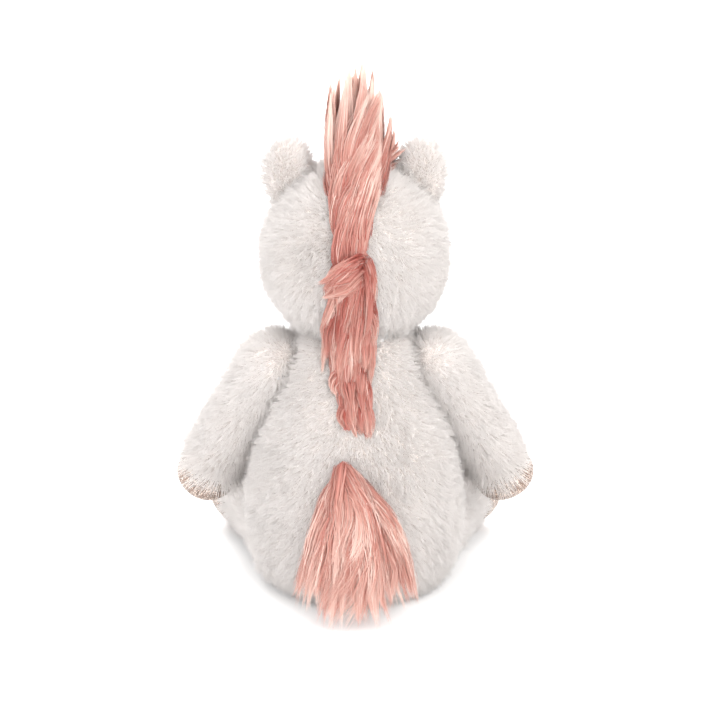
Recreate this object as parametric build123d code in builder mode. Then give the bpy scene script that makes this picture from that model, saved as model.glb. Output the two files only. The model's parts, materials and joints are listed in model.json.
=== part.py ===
"""A seated plush unicorn: pile cloth panels over stuffing, with sewn-on limbs, ears, horn, mane and tail.

The toy sits on Z = 0 and faces -Y, so its own left side is +X. The origin is the middle of its seat.
Every sewn part is a thin cloth shell with its own stuffing. Head and limbs end in a ball of stuffing that
lies in a matching hollow of the torso, which is what lets the sewn seams bend.
"""

import os
from math import cos, radians, sin

from build123d import *

# ---------------------------------------------------------------- driving dimensions, millimetres and degrees
PILE_CLOTH = 2.4  # thickness of the plush cloth, backing and pressed pile together
GLITTER_CLOTH = 1.8
THIN_CLOTH = 1.0
STITCHING = 0.8  # how far embroidery stands out of the cloth
MOUTH_WIDTH = 1.3
SEAM_GAP = 0.6  # free space round a part that bends on its seam

TORSO_OUTLINE = [
    (38, 0), (50, 9), (56, 26), (57, 50), (54, 76), (49, 98), (43.5, 118), (38, 132), (31, 143), (18, 151), (0, 154),
]
SEAT_RADIUS = 38
SEAT_EDGE_TANGENT = (1, 0.45)
BELLY_SEAM_Y = -16  # where the belly panel meets the two back panels

HEAD_OUTLINE = [
    (0, 143.5), (17, 145.5), (29, 150.5), (36, 155.5), (42, 162.5), (46.5, 172), (48.5, 187), (47, 200),
    (42.5, 211.5), (34.5, 221.5), (22, 230.5), (0, 235.5),
]
NECK_PIVOT = (0, 0, 150)
NECK_BALL = 31.5
NECK_SEAM_Z = 131  # lower edge of the head's cloth, inside the torso's neck opening

MUZZLE_CENTRE = (0, -43, 173.5)
MUZZLE_LENGTH = 27
MUZZLE_RADIUS = 23

EYE_HEIGHT = 197
EYE_TURN = 31  # degrees each side of straight ahead
EYE_RADIUS = 5.5
EYE_BULGE = 4.0
EYE_SHANK_RADIUS = 2.1
EYE_SHANK_LENGTH = 11
EYE_FIT = 0.12
WASHER_RADIUS = 7
WASHER_THICKNESS = 1.6

EAR_OUTLINE = [
    (24, 212), (23.5, 226), (24, 237), (28, 245.5), (35.5, 248.8), (43, 246), (47, 237), (47, 226), (44, 214), (36, 204),
]
EAR_THICKNESS = 9
EAR_BACK_Y = 5.5
EAR_ROUNDING = 3.4
EAR_GAP = 1.9  # room for the ear's base to fold over the head
LINING_SCALE = 0.68
LINING_DEPTH = 1.6

HORN_BASE = (0, -29, 214)
HORN_DIRECTION = (0, -0.62, 0.785)
HORN_LENGTH = 46
HORN_RADIUS = 9.5
HORN_TIP_RADIUS = 1.6
HORN_CLOTH = 1.2
WINDING_START = 15
WINDING_TURNS = 4
WINDING_THREAD = 0.6

SHOULDER = (44.5, 6, 126.5)
ARM_DIRECTION = (0.463, -0.337, -0.821)
ARM_BALL = 18.5
ARM_STATIONS = [(26, 17.6), (50, 17.4), (70, 17.8), (78, 16.8)]  # (distance from the shoulder, radius)
ARM_HOOF_OUTLINE = [(78, 16.0), (86, 16.2), (93, 13.5), (97, 7.0), (98, 0)]

HIP = (40, -32, 22.7)
LEG_SPLAY = 20
LEG_BALL = 22
LEG_STATIONS = [(26, 19.6), (44, 19.6), (56, 20.2)]
LEG_HOOF_OUTLINE = [(56, 20.2), (61, 21.9), (68, 22.5), (74, 22.5)]
LEG_SOLE_RADIUS = 21.5
LEG_SOLE_BULGE = 2.8
LEG_LIFT = 35

POUCH_RADIUS = 31
POUCH_HEIGHT = 22
POUCH_ROUNDING = 8
POUCH_PLACE = (0, 6, 3.4)

MANE_STRIP = 1.6
MANE_STRIP_HALF_WIDTH = 6
CREST_LINE = [(2, 235.5), (22, 230.5), (34.5, 221.5), (42.5, 211.5), (47, 200), (48.5, 187), (46.5, 172), (42.5, 163)]
CREST_SECTIONS = [  # (share of the line, half width, half depth)
    (0, 12, 10), (0.25, 13, 13), (0.5, 13, 13.5), (0.75, 12.5, 13), (1, 13, 11),
]
CREST_LOW_Z = 160
NAPE_LINE = [(38, 131.5), (43.5, 118), (47.6, 103)]
NAPE_SECTIONS = [(0, 16, 10), (0.4, 14.5, 12), (0.75, 10.5, 10.5), (1, 5, 6)]
NAPE_LOW_Z = 102
NAPE_TOP_Z = 131
FORELOCK_SECTIONS = [  # (height, middle x, middle y, half width, half depth)
    (226, 0, -4, 14.5, 19), (246, -1, -4, 15.5, 17), (262, 0, -6, 13, 11), (278, 2, -8, 7.5, 5.5),
]

TAIL_PIVOT = (3, 55.8, 82)
TAIL_SECTIONS = [
    (80.5, 4, 57.5, 6, 3.4), (62, 1.5, 66.5, 16, 8.5), (40, -2.5, 72, 26, 13), (20, -2.5, 73.5, 31, 15.5),
    (1, -1.5, 72, 28, 14),
]
TAIL_TAB_WIDTH = 9
TAIL_TAB_TOP = 82
TAIL_TAB_BOTTOM = 71

BIG = 400  # larger than the toy, for cutting boxes


# ---------------------------------------------------------------- shared shapes
def moved_out(outline, amount):
    """The outline's points moved square to the curve; points on the axis stay on it."""
    moved = []
    for i, (r, z) in enumerate(outline):
        before = outline[max(i - 1, 0)]
        after = outline[min(i + 1, len(outline) - 1)]
        along = Vector(after[0] - before[0], after[1] - before[1]).normalized()
        if r == 0:
            moved.append((0, z + amount * (1 if i else -1)))
        else:
            moved.append((r + along.Y * amount, z - along.X * amount))
    return moved


def eased(points, first, last):
    """A spline through the points with gentle end tangents, so that it doesn't swing past its last points."""
    return Spline(*points, tangents=(first, last), tangent_scalars=(0.5, 0.5))


def turned_about_z(points, start_tangent=(1, 0)):
    """A solid of revolution about Z from (radius, height) points, closed along the axis."""
    with BuildPart() as solid:
        with BuildSketch(Plane.XZ):
            with BuildLine():
                side = eased(points, start_tangent, (-1, 0))
                top, bottom = side @ 1, side @ 0
                Line(top, (0, bottom.Y))
                if bottom.X > 0:
                    Line((0, bottom.Y), bottom)
            make_face()
        revolve(axis=Axis.Z)
    return solid.part


def torso_points(grow=0.0):
    points = moved_out(TORSO_OUTLINE, grow)
    points[0] = (SEAT_RADIUS, -grow) if grow < 0 else (SEAT_RADIUS + grow, 0)
    return points


def torso_solid(grow=0.0):
    return turned_about_z(torso_points(grow), start_tangent=SEAT_EDGE_TANGENT)


def torso_shell():
    """The torso's cloth without its base: the band between the outer and the inner outline, turned about Z."""
    with BuildPart() as shell:
        with BuildSketch(Plane.XZ):
            with BuildLine():
                outer = eased(torso_points(), SEAT_EDGE_TANGENT, (-1, 0))
                inner = eased(torso_points(-PILE_CLOTH), SEAT_EDGE_TANGENT, (-1, 0))
                Line(outer @ 1, inner @ 1)
                Line(inner @ 0, outer @ 0)
            make_face()
        revolve(axis=Axis.Z)
    return shell.part


def head_solid(grow=0.0):
    return turned_about_z(moved_out(HEAD_OUTLINE, grow))


def limb_plane(root, direction):
    """A sketch plane whose local X runs down the limb and whose origin is the limb's pivot."""
    along = Vector(*direction).normalized()
    return Plane(origin=root, x_dir=along, z_dir=along.cross(Vector(0, 0, 1)))


def limb_solid(root, direction, ball, stations, grow=0.0):
    """A ball at the pivot, drawn out into a round limb with a flat end."""
    plane = limb_plane(root, direction)
    end = stations[-1][0]
    with BuildPart() as solid:
        with BuildSketch(plane):
            with BuildLine():
                round_root = CenterArc((0, 0), ball + grow, 180, -105)
                widths = [(s, r + grow) for s, r in stations]
                eased([round_root @ 1, *widths], round_root % 1, (1, -0.1))
                Line(widths[-1], (end, 0))
                Line((end, 0), round_root @ 0)
            make_face()
        revolve(axis=Axis(plane.origin, plane.x_dir))
    return solid.part


def hoof_solid(root, direction, outline, grow=0.0):
    """The rounded end of an arm: a cap of revolution on the limb's axis."""
    plane = limb_plane(root, direction)
    start = outline[0][0]
    points = [(s, r + grow) for s, r in outline[:-1]] + [(outline[-1][0] + grow, 0)]
    with BuildPart() as solid:
        with BuildSketch(plane):
            with BuildLine():
                eased(points, (1, 0), (0, -1))
                Line(points[-1], (start, 0))
                Line((start, 0), points[0])
            make_face()
        revolve(axis=Axis(plane.origin, plane.x_dir))
    return solid.part


def ball_at(centre, radius):
    with BuildPart() as ball:
        with Locations(centre):
            Sphere(radius)
    return ball.part


def stacked_ellipses(sections):
    """A loft through level ellipses given as (height, middle x, middle y, half width, half depth)."""
    with BuildPart() as solid:
        for height, x, y, half_width, half_depth in sections:
            with BuildSketch(Plane.XY.offset(height)):
                with Locations((x, y)):
                    Ellipse(half_width, half_depth)
        loft()
    return solid.part


def write(part, label):
    """Exports one sub-part under its node name."""
    part.label = label
    export_step(part, f"parts/{label}.step")


def write_pair(part, name):
    """Exports a left-hand part and its mirror image."""
    write(part, f"{name}_left")
    write(mirror(part, about=Plane.YZ), f"{name}_right")


# ---------------------------------------------------------------- torso
def leg_direction(lift=0):
    """The left leg's direction after it has been lifted by some degrees."""
    level = Vector(sin(radians(LEG_SPLAY)), -cos(radians(LEG_SPLAY)), 0)
    return level * cos(radians(lift)) + Vector(0, 0, 1) * sin(radians(lift))


def limb_room(root, direction, ball, stations):
    """A plain tapered plug round a limb outside its ball, a seam gap larger than the limb itself."""
    plane = limb_plane(root, direction)
    reach = stations[-1][0] + 10
    widest = max(radius for _, radius in stations)
    with BuildPart() as room:
        with BuildSketch(plane):
            with BuildLine():
                Polyline((2, 0), (2, ball + SEAM_GAP - 0.15), (30, widest + SEAM_GAP), (reach, widest + SEAM_GAP), (reach, 0))
                Line((reach, 0), (2, 0))
            make_face()
        revolve(axis=Axis(plane.origin, plane.x_dir))
    return room.part


def leg_lift_room():
    """The wedge the left leg's tube passes through between its lowest and its highest place."""
    level = leg_direction()
    hinge = level.cross(Vector(0, 0, 1))
    plane = Plane(origin=HIP, x_dir=level, z_dir=level.cross(hinge))
    reach = LEG_STATIONS[-1][0] + 10
    half_width = max(radius for _, radius in LEG_STATIONS) + SEAM_GAP
    with BuildPart() as room:
        with BuildSketch(plane):
            with BuildLine():
                Polyline((0.5, -half_width), (reach, -half_width), (reach, half_width), (0.5, half_width), close=True)
            make_face()
        revolve(axis=Axis(HIP, hinge), revolution_arc=LEG_LIFT)
    return room.part


def limb_hollows():
    """What the neck, arms and legs need free in the torso, as separate solids for both sides."""
    left_side = [
        ball_at(SHOULDER, ARM_BALL + SEAM_GAP),
        ball_at(HIP, LEG_BALL + SEAM_GAP),
        limb_room(SHOULDER, ARM_DIRECTION, ARM_BALL, ARM_STATIONS),
        limb_room(HIP, leg_direction(), LEG_BALL, LEG_STATIONS),
        limb_room(HIP, leg_direction(LEG_LIFT), LEG_BALL, LEG_STATIONS),
        leg_lift_room(),
    ]
    right_side = [mirror(room, about=Plane.YZ) for room in left_side]
    return [ball_at(NECK_PIVOT, NECK_BALL + SEAM_GAP)] + left_side + right_side


def rounded_disc(inset):
    """The pouch's cushion shape, or the room inside its cloth."""
    with BuildPart() as disc:
        with Locations(POUCH_PLACE):
            Cylinder(POUCH_RADIUS - inset, POUCH_HEIGHT - 2 * inset)
        fillet(disc.edges(), POUCH_ROUNDING - inset)
    return Pos(0, 0, POUCH_HEIGHT / 2) * disc.part


def make_torso():
    hollows = limb_hollows()
    shell = torso_shell()
    inner = torso_solid(-PILE_CLOTH)
    with BuildPart() as base_panel:
        Cylinder(SEAT_RADIUS, PILE_CLOTH, align=(Align.CENTER, Align.CENTER, Align.MIN))
    write(base_panel.part, "base_panel")

    with BuildPart() as torso_cloth:
        add(shell)
        for hollow in hollows:
            add(hollow, mode=Mode.SUBTRACT)

    with BuildPart() as belly_panel:
        add(torso_cloth.part)
        split(bisect_by=Plane.XZ.offset(-BELLY_SEAM_Y), keep=Keep.TOP)
    write(belly_panel.part, "belly_panel")

    with BuildPart() as back_panel:
        add(torso_cloth.part)
        split(bisect_by=Plane.XZ.offset(-BELLY_SEAM_Y), keep=Keep.BOTTOM)
        split(bisect_by=Plane.YZ, keep=Keep.TOP)
    write_pair(back_panel.part, "back_panel")

    pouch_outer = rounded_disc(0)
    pouch_inner = rounded_disc(THIN_CLOTH)
    write(pouch_inner, "pellet_fill")

    with BuildPart() as pellet_pouch:
        add(pouch_outer)
        add(pouch_inner, mode=Mode.SUBTRACT)
    write(pellet_pouch.part, "pellet_pouch")

    with BuildPart() as torso_stuffing:
        add(inner)
        add(pouch_outer, mode=Mode.SUBTRACT)
        for hollow in hollows:
            add(hollow, mode=Mode.SUBTRACT)
    write(torso_stuffing.part, "torso_stuffing")


# ---------------------------------------------------------------- head
def muzzle_solid(grow=0.0):
    """An egg lying along Y, out of the front of the head."""
    plane = Plane(origin=MUZZLE_CENTRE, x_dir=(0, -1, 0), z_dir=(1, 0, 0))
    with BuildPart() as solid:
        with BuildSketch(plane):
            with BuildLine():
                half = EllipticalCenterArc((0, 0), MUZZLE_LENGTH + grow, MUZZLE_RADIUS + grow, arc_size=180)
                Line(half @ 1, half @ 0)
            make_face()
        revolve(axis=Axis(MUZZLE_CENTRE, (0, 1, 0)))
    return solid.part


def eye_plane():
    """The plane that touches the head's cloth at the left eye, facing out."""
    side = Spline(*[(r, 0, z) for r, z in HEAD_OUTLINE])
    low, high = 0.0, 1.0
    for _ in range(40):
        middle = (low + high) / 2
        if (side @ middle).Z < EYE_HEIGHT:
            low = middle
        else:
            high = middle
    radius, slope = (side @ low).X, side % low
    around = Vector(sin(radians(EYE_TURN)), -cos(radians(EYE_TURN)), 0)
    outward = around * slope.Z - Vector(0, 0, 1) * slope.X
    return Plane(origin=around * radius + Vector(0, 0, EYE_HEIGHT), z_dir=outward)


def make_eye(plane):
    """A safety eye: a glossy dome on a shank that goes through the cloth, and the washer that locks it inside."""
    seat = plane.offset(0.05)
    with BuildPart() as eye:
        with BuildSketch(Plane(origin=seat.origin, x_dir=seat.z_dir, z_dir=seat.x_dir)):
            with BuildLine():
                EllipticalCenterArc((0, 0), EYE_BULGE, EYE_RADIUS, arc_size=90)
                Line((0, EYE_RADIUS), (0, EYE_SHANK_RADIUS))
                Line((0, EYE_SHANK_RADIUS), (-EYE_SHANK_LENGTH, EYE_SHANK_RADIUS))
                Line((-EYE_SHANK_LENGTH, EYE_SHANK_RADIUS), (-EYE_SHANK_LENGTH, 0))
                Line((-EYE_SHANK_LENGTH, 0), (EYE_BULGE, 0))
            make_face()
        revolve(axis=Axis(seat.origin, seat.z_dir))
    with BuildPart() as washer:
        with BuildSketch(plane.offset(-PILE_CLOTH - 1.2)):
            Circle(WASHER_RADIUS)
            Circle(EYE_SHANK_RADIUS + EYE_FIT, mode=Mode.SUBTRACT)
        extrude(amount=-WASHER_THICKNESS)
    return eye.part, washer.part


def hardware_room(plane):
    """What the shank and the washer of one eye need free in the cloth and the stuffing."""
    with BuildPart() as room:
        with BuildSketch(plane.offset(1)):
            Circle(EYE_SHANK_RADIUS + EYE_FIT)
        extrude(amount=-EYE_SHANK_LENGTH - 1.2)
    with BuildPart() as washer_room:
        with BuildSketch(plane.offset(-PILE_CLOTH - 1.1)):
            Circle(WASHER_RADIUS + 0.1)
        extrude(amount=-WASHER_THICKNESS - 0.2)
    return room.part, washer_room.part


def make_head():
    plane = eye_plane()
    eye, washer = make_eye(plane)
    write_pair(eye, "eye")
    write_pair(washer, "eye_washer")
    shank_room, washer_room = hardware_room(plane)
    both_sides = [shank_room, washer_room, mirror(shank_room, about=Plane.YZ), mirror(washer_room, about=Plane.YZ)]
    outer = head_solid()
    muzzle = muzzle_solid()
    neck = ball_at(NECK_PIVOT, NECK_BALL)
    insides = [
        head_solid(-PILE_CLOTH),
        ball_at(NECK_PIVOT, NECK_BALL - PILE_CLOTH),
        muzzle_solid(-PILE_CLOTH),
    ]

    with BuildPart() as head_cloth:
        add(outer)
        add(neck)
        for inside in insides:
            add(inside, mode=Mode.SUBTRACT)
        split(bisect_by=Plane.XY.offset(NECK_SEAM_Z), keep=Keep.TOP)
        split(bisect_by=Plane.YZ, keep=Keep.TOP)
        add(shank_room, mode=Mode.SUBTRACT)
    write_pair(head_cloth.part, "head_panel")

    with BuildPart() as muzzle_panel:
        add(muzzle)
        add(insides[-1], mode=Mode.SUBTRACT)
        add(outer, mode=Mode.SUBTRACT)
    write(muzzle_panel.part, "muzzle_panel")

    with BuildPart() as head_stuffing:
        for inside in insides:
            add(inside)
        for room in both_sides:
            add(room, mode=Mode.SUBTRACT)
    write(head_stuffing.part, "head_stuffing")


def make_embroidery():
    """Satin-stitched nostrils and a stitched mouth line, both raised a little from the muzzle cloth."""
    front = Plane.XZ.offset(-MUZZLE_CENTRE[1])
    cloth = muzzle_solid()
    thread_surface = muzzle_solid(STITCHING)

    with BuildPart() as nostrils:
        with BuildSketch(front):
            for side in (-1, 1):
                with Locations(Location((side * 8, MUZZLE_CENTRE[2] + 6.5), side * 24)):
                    Ellipse(3.2, 1.9)
        extrude(amount=MUZZLE_LENGTH + 5)
        add(thread_surface, mode=Mode.INTERSECT)
        add(cloth, mode=Mode.SUBTRACT)
    write(nostrils.part, "nostril_stitching")

    with BuildPart() as mouth:
        with BuildSketch(front):
            with BuildLine():
                CenterArc((0, MUZZLE_CENTRE[2] + 6), 14, 222, 96)
            trace(line_width=MOUTH_WIDTH)
        extrude(amount=MUZZLE_LENGTH + 5)
        add(thread_surface, mode=Mode.INTERSECT)
        add(cloth, mode=Mode.SUBTRACT)
    write(mouth.part, "mouth_stitching")


def cone_along_horn(profile):
    """A (distance from the base, radius) outline turned about the horn's axis."""
    plane = limb_plane(HORN_BASE, HORN_DIRECTION)
    with BuildPart() as cone:
        with BuildSketch(plane):
            with BuildLine():
                Polyline(*profile, close=True)
            make_face()
        revolve(axis=Axis(plane.origin, plane.x_dir))
    return cone.part


def horn_cone(grow=0.0):
    tip = HORN_LENGTH + grow
    return cone_along_horn([(0, 0), (0, HORN_RADIUS + grow), (tip, HORN_TIP_RADIUS + grow), (tip, 0)])


def make_horn():
    """A cone of glitter cloth with its stuffing, and the thread wound round it."""
    head = head_solid()
    inner = horn_cone(-HORN_CLOTH)
    cloth = cone_along_horn([
        (0, HORN_RADIUS),
        (HORN_LENGTH, HORN_TIP_RADIUS),
        (HORN_LENGTH, 0),
        (HORN_LENGTH - HORN_CLOTH, 0),
        (HORN_LENGTH - HORN_CLOTH, HORN_TIP_RADIUS - HORN_CLOTH),
        (0, HORN_RADIUS - HORN_CLOTH),
    ])
    with BuildPart() as horn:
        add(cloth)
        add(head, mode=Mode.SUBTRACT)
    write(horn.part, "horn")

    with BuildPart() as horn_stuffing:
        add(inner)
        add(head, mode=Mode.SUBTRACT)
    write(horn_stuffing.part, "horn_stuffing")

    taper = (HORN_RADIUS - HORN_TIP_RADIUS) / HORN_LENGTH
    plane = limb_plane(HORN_BASE, HORN_DIRECTION)
    with BuildPart() as horn_winding:
        for turn in range(WINDING_TURNS):
            distance = WINDING_START + turn * 6.5
            radius = HORN_RADIUS - taper * distance + WINDING_THREAD + 0.25
            centre = plane.origin + plane.x_dir * distance
            with Locations(Plane(origin=centre, z_dir=plane.x_dir)):
                Torus(radius, WINDING_THREAD)
    write(horn_winding.part, "horn_winding")


def make_ears():
    """Each ear is a padded lobe with a thin lining let into its front."""
    lobe_front = EAR_BACK_Y - EAR_THICKNESS
    head_room = head_solid(EAR_GAP)
    with BuildPart() as lobe:
        with BuildSketch(Plane.XZ.offset(-EAR_BACK_Y)):
            with BuildLine():
                Spline(*EAR_OUTLINE, periodic=True)
            make_face()
        extrude(amount=EAR_THICKNESS)
        fillet(lobe.edges(), EAR_ROUNDING)
        add(head_room, mode=Mode.SUBTRACT)

    with BuildPart() as lining:
        with BuildSketch(Plane.XZ.offset(-lobe_front - LINING_DEPTH)):
            with Locations((35.5, 233.5)):
                Ellipse(12 * LINING_SCALE, 17 * LINING_SCALE)
        extrude(amount=LINING_DEPTH)
        add(head_room, mode=Mode.SUBTRACT)
    write_pair(lining.part, "ear_lining")

    with BuildPart() as ear_back:
        add(lobe.part)
        add(lining.part, mode=Mode.SUBTRACT)
    write_pair(ear_back.part, "ear_back")


# ---------------------------------------------------------------- mane
def strip_of(outer, low, high, front):
    """The slice of a solid between two heights, near the middle plane and behind the plane Y = front."""
    with BuildPart() as slice_of:
        with Locations((0, front, low)):
            Box(2 * MANE_STRIP_HALF_WIDTH, BIG, high - low, align=(Align.CENTER, Align.MIN, Align.MIN))
        add(outer, mode=Mode.INTERSECT)
    return slice_of.part


def tuft_along(line, sections):
    """A loft of ellipses square to a line in the middle plane, given by its (y, z) points."""
    path = Spline(*[(0, y, z) for y, z in line])
    with BuildPart() as tuft:
        for share, half_width, half_depth in sections:
            with BuildSketch(Plane(origin=path @ share, x_dir=(1, 0, 0), z_dir=path % share)):
                Ellipse(half_width, half_depth)
        loft()
    return tuft.part


def make_mane():
    """The cloth strip let into the centre seam, and the long pile that grows from it."""
    head = head_solid()
    torso = torso_solid()
    horn = horn_cone(3 * WINDING_THREAD)
    crest_cloth = strip_of(head_solid(MANE_STRIP), CREST_LOW_Z, BIG, -14)
    crest_pile = tuft_along(CREST_LINE, CREST_SECTIONS)
    nape_cloth = strip_of(torso_solid(MANE_STRIP), NAPE_LOW_Z, NAPE_TOP_Z, 0)
    nape_pile = tuft_along(NAPE_LINE, NAPE_SECTIONS)
    tuft = stacked_ellipses(FORELOCK_SECTIONS)

    with BuildPart() as crest_strip:
        add(crest_cloth)
        add(head, mode=Mode.SUBTRACT)
    write(crest_strip.part, "crest_strip")

    with BuildPart() as crest_mane:
        add(crest_pile)
        add(head, mode=Mode.SUBTRACT)
        add(crest_strip.part, mode=Mode.SUBTRACT)
    write(crest_mane.part, "crest_mane")

    with BuildPart() as forelock:
        add(tuft)
        for neighbour in (head, crest_cloth, crest_pile, horn):
            add(neighbour, mode=Mode.SUBTRACT)
    write(forelock.part, "forelock")

    with BuildPart() as nape_strip:
        add(nape_cloth)
        add(torso, mode=Mode.SUBTRACT)
    write(nape_strip.part, "nape_strip")

    with BuildPart() as nape_mane:
        add(nape_pile)
        add(torso, mode=Mode.SUBTRACT)
        add(nape_strip.part, mode=Mode.SUBTRACT)
    write(nape_mane.part, "nape_mane")


# ---------------------------------------------------------------- arms
def make_arms():
    outer = limb_solid(SHOULDER, ARM_DIRECTION, ARM_BALL, ARM_STATIONS)
    inner = limb_solid(SHOULDER, ARM_DIRECTION, ARM_BALL, ARM_STATIONS, -PILE_CLOTH)
    hoof_outer = hoof_solid(SHOULDER, ARM_DIRECTION, ARM_HOOF_OUTLINE)
    hoof_inner = hoof_solid(SHOULDER, ARM_DIRECTION, ARM_HOOF_OUTLINE, -GLITTER_CLOTH)

    with BuildPart() as sleeve:
        add(outer)
        add(inner, mode=Mode.SUBTRACT)
    write_pair(sleeve.part, "arm_sleeve")

    with BuildPart() as hoof:
        add(hoof_outer)
        add(hoof_inner, mode=Mode.SUBTRACT)
    write_pair(hoof.part, "arm_hoof")

    with BuildPart() as stuffing:
        add(inner)
        add(hoof_inner)
    write_pair(stuffing.part, "arm_stuffing")


# ---------------------------------------------------------------- legs
def make_legs():
    direction = leg_direction()
    plane = limb_plane(HIP, direction)
    outer = limb_solid(HIP, direction, LEG_BALL, LEG_STATIONS)
    inner = limb_solid(HIP, direction, LEG_BALL, LEG_STATIONS, -PILE_CLOTH)

    with BuildPart() as sleeve:
        add(outer)
        add(inner, mode=Mode.SUBTRACT)
    write_pair(sleeve.part, "leg_sleeve")

    start, end = LEG_HOOF_OUTLINE[0][0], LEG_HOOF_OUTLINE[-1][0]
    lining = [(s, r - GLITTER_CLOTH) for s, r in LEG_HOOF_OUTLINE]
    with BuildPart() as hoof_band:
        with BuildSketch(plane):
            with BuildLine():
                Spline(*LEG_HOOF_OUTLINE)
                Line(LEG_HOOF_OUTLINE[-1], lining[-1])
                Spline(*reversed(lining))
                Line(lining[0], LEG_HOOF_OUTLINE[0])
            make_face()
        revolve(axis=Axis(plane.origin, plane.x_dir))
    write_pair(hoof_band.part, "leg_hoof")

    with BuildPart() as sole:
        with BuildSketch(plane):
            with BuildLine():
                rim = Line((end, LEG_SOLE_RADIUS), (end + 1, LEG_SOLE_RADIUS - 0.2))
                eased([rim @ 1, (end + LEG_SOLE_BULGE, 0)], (1, -2.5), (0, -1))
                Line((end + LEG_SOLE_BULGE, 0), (end, 0))
                Line((end, 0), rim @ 0)
            make_face()
        revolve(axis=Axis(plane.origin, plane.x_dir))
    write_pair(sole.part, "leg_sole")

    with BuildPart() as hoof_room:
        with BuildSketch(plane):
            with BuildLine():
                Spline(*lining)
                Polyline(lining[-1], (end, 0), (start, 0), lining[0])
            make_face()
        revolve(axis=Axis(plane.origin, plane.x_dir))

    with BuildPart() as stuffing:
        add(inner)
        add(hoof_room.part)
    write_pair(stuffing.part, "leg_stuffing")


# ---------------------------------------------------------------- tail
def make_tail():
    """A cloth tab sewn into the back seam, and the tuft of long pile on it."""
    tab_middle = (TAIL_TAB_TOP + TAIL_TAB_BOTTOM) / 2
    tuft = stacked_ellipses(TAIL_SECTIONS)
    torso_room = torso_solid(SEAM_GAP)

    with BuildPart() as tail_tab:
        with Locations((TAIL_PIVOT[0], TAIL_PIVOT[1], tab_middle)):
            Box(TAIL_TAB_WIDTH, THIN_CLOTH, TAIL_TAB_TOP - TAIL_TAB_BOTTOM)
        fillet(tail_tab.edges().filter_by(Axis.Y), 2)
    write(tail_tab.part, "tail_tab")

    with BuildPart() as tail_tuft:
        add(tuft)
        add(tail_tab.part, mode=Mode.SUBTRACT)
        add(torso_room, mode=Mode.SUBTRACT)
    write(tail_tuft.part, "tail_tuft")


os.makedirs("parts", exist_ok=True)
make_torso()
make_head()
make_embroidery()
make_horn()
make_ears()
make_mane()
make_arms()
make_legs()
make_tail()
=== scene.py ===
"""A seated plush unicorn: stuffed skins under short pile, long pink mane and tail, glitter hooves and horn."""

import json

import bpy
import numpy as np
from bpy.props import FloatProperty, FloatVectorProperty, IntProperty, PointerProperty
from mathutils import Matrix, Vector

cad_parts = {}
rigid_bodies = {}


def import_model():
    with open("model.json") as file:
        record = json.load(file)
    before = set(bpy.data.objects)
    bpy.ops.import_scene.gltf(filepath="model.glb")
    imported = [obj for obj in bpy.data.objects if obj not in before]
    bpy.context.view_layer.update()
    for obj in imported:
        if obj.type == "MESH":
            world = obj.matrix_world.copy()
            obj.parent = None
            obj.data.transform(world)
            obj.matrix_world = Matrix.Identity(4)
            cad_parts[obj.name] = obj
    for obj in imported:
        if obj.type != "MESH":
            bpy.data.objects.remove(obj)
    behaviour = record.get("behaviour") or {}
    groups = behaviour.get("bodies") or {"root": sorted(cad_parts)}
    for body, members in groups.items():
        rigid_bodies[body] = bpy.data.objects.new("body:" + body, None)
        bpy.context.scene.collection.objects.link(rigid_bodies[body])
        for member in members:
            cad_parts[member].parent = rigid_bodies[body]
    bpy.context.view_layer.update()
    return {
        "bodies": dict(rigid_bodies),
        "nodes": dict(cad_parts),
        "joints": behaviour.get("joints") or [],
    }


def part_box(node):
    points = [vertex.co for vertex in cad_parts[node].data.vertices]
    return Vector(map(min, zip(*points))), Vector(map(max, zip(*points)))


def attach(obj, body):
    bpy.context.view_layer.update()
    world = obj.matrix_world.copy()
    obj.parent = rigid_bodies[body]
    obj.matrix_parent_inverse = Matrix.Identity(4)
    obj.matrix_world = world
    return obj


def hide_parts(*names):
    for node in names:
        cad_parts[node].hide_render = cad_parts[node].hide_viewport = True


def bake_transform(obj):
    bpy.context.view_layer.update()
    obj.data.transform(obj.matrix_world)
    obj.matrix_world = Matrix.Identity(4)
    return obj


bl_info = {
    "name": "Plush Unicorn",
    "version": (1, 0, 0),
    "blender": (4, 5, 0),
    "location": "3D View > Sidebar > Plush",
    "description": "Builds a seated plush unicorn, with its pile, mane, tail, hooves and horn",
    "category": "Add Mesh",
}

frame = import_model()
NODES = frame["nodes"]
JOINTS = {joint["name"]: joint for joint in frame["joints"]}
MM = 0.001
SIDES = (("left", 1), ("right", -1))
UP = np.array([0.0, 0.0, 1.0])
DOWN = (0, 0, -1)

# Half-profiles as (radius, height) in millimetres, the cloth's outer face.
TORSO = [(0, 0), (24, 0), (38, 1.2), (49.5, 9), (56, 26), (57, 50), (54, 76), (49, 98), (43.5, 118),
         (38, 132), (31, 143), (18, 151), (0, 154)]
HEAD = [(0, 143.5), (17, 145.5), (29, 150.5), (36, 155.5), (42, 162.5), (46.5, 172), (48.5, 187), (47, 200),
        (42.5, 211.5), (34.5, 221.5), (22, 230.5), (0, 235.5)]
ARM = [(0, -18.5), (9, -16.2), (15.5, -10), (18.4, -1), (18.2, 12), (17.6, 26), (17.4, 50), (17.8, 68),
       (16.9, 77), (13.5, 80.5), (0, 81.5)]
LEG = [(0, -22), (11, -19), (18.5, -12), (21.8, -2), (21.2, 10), (19.6, 26), (19.6, 44), (20.0, 53),
       (18.0, 57), (0, 58)]
BELLY_SEAM = -16
STRIP = 5.5 * MM


# ---------------------------------------------------------------- arrays
def place(joint):
    """A joint's pivot in the row frame, as an array in metres."""
    return np.array(JOINTS[joint]["pos_m"], float)


def unit(v):
    """Each row divided by its length."""
    return v / np.maximum(np.linalg.norm(v, axis=-1, keepdims=True), 1e-12)


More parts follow.
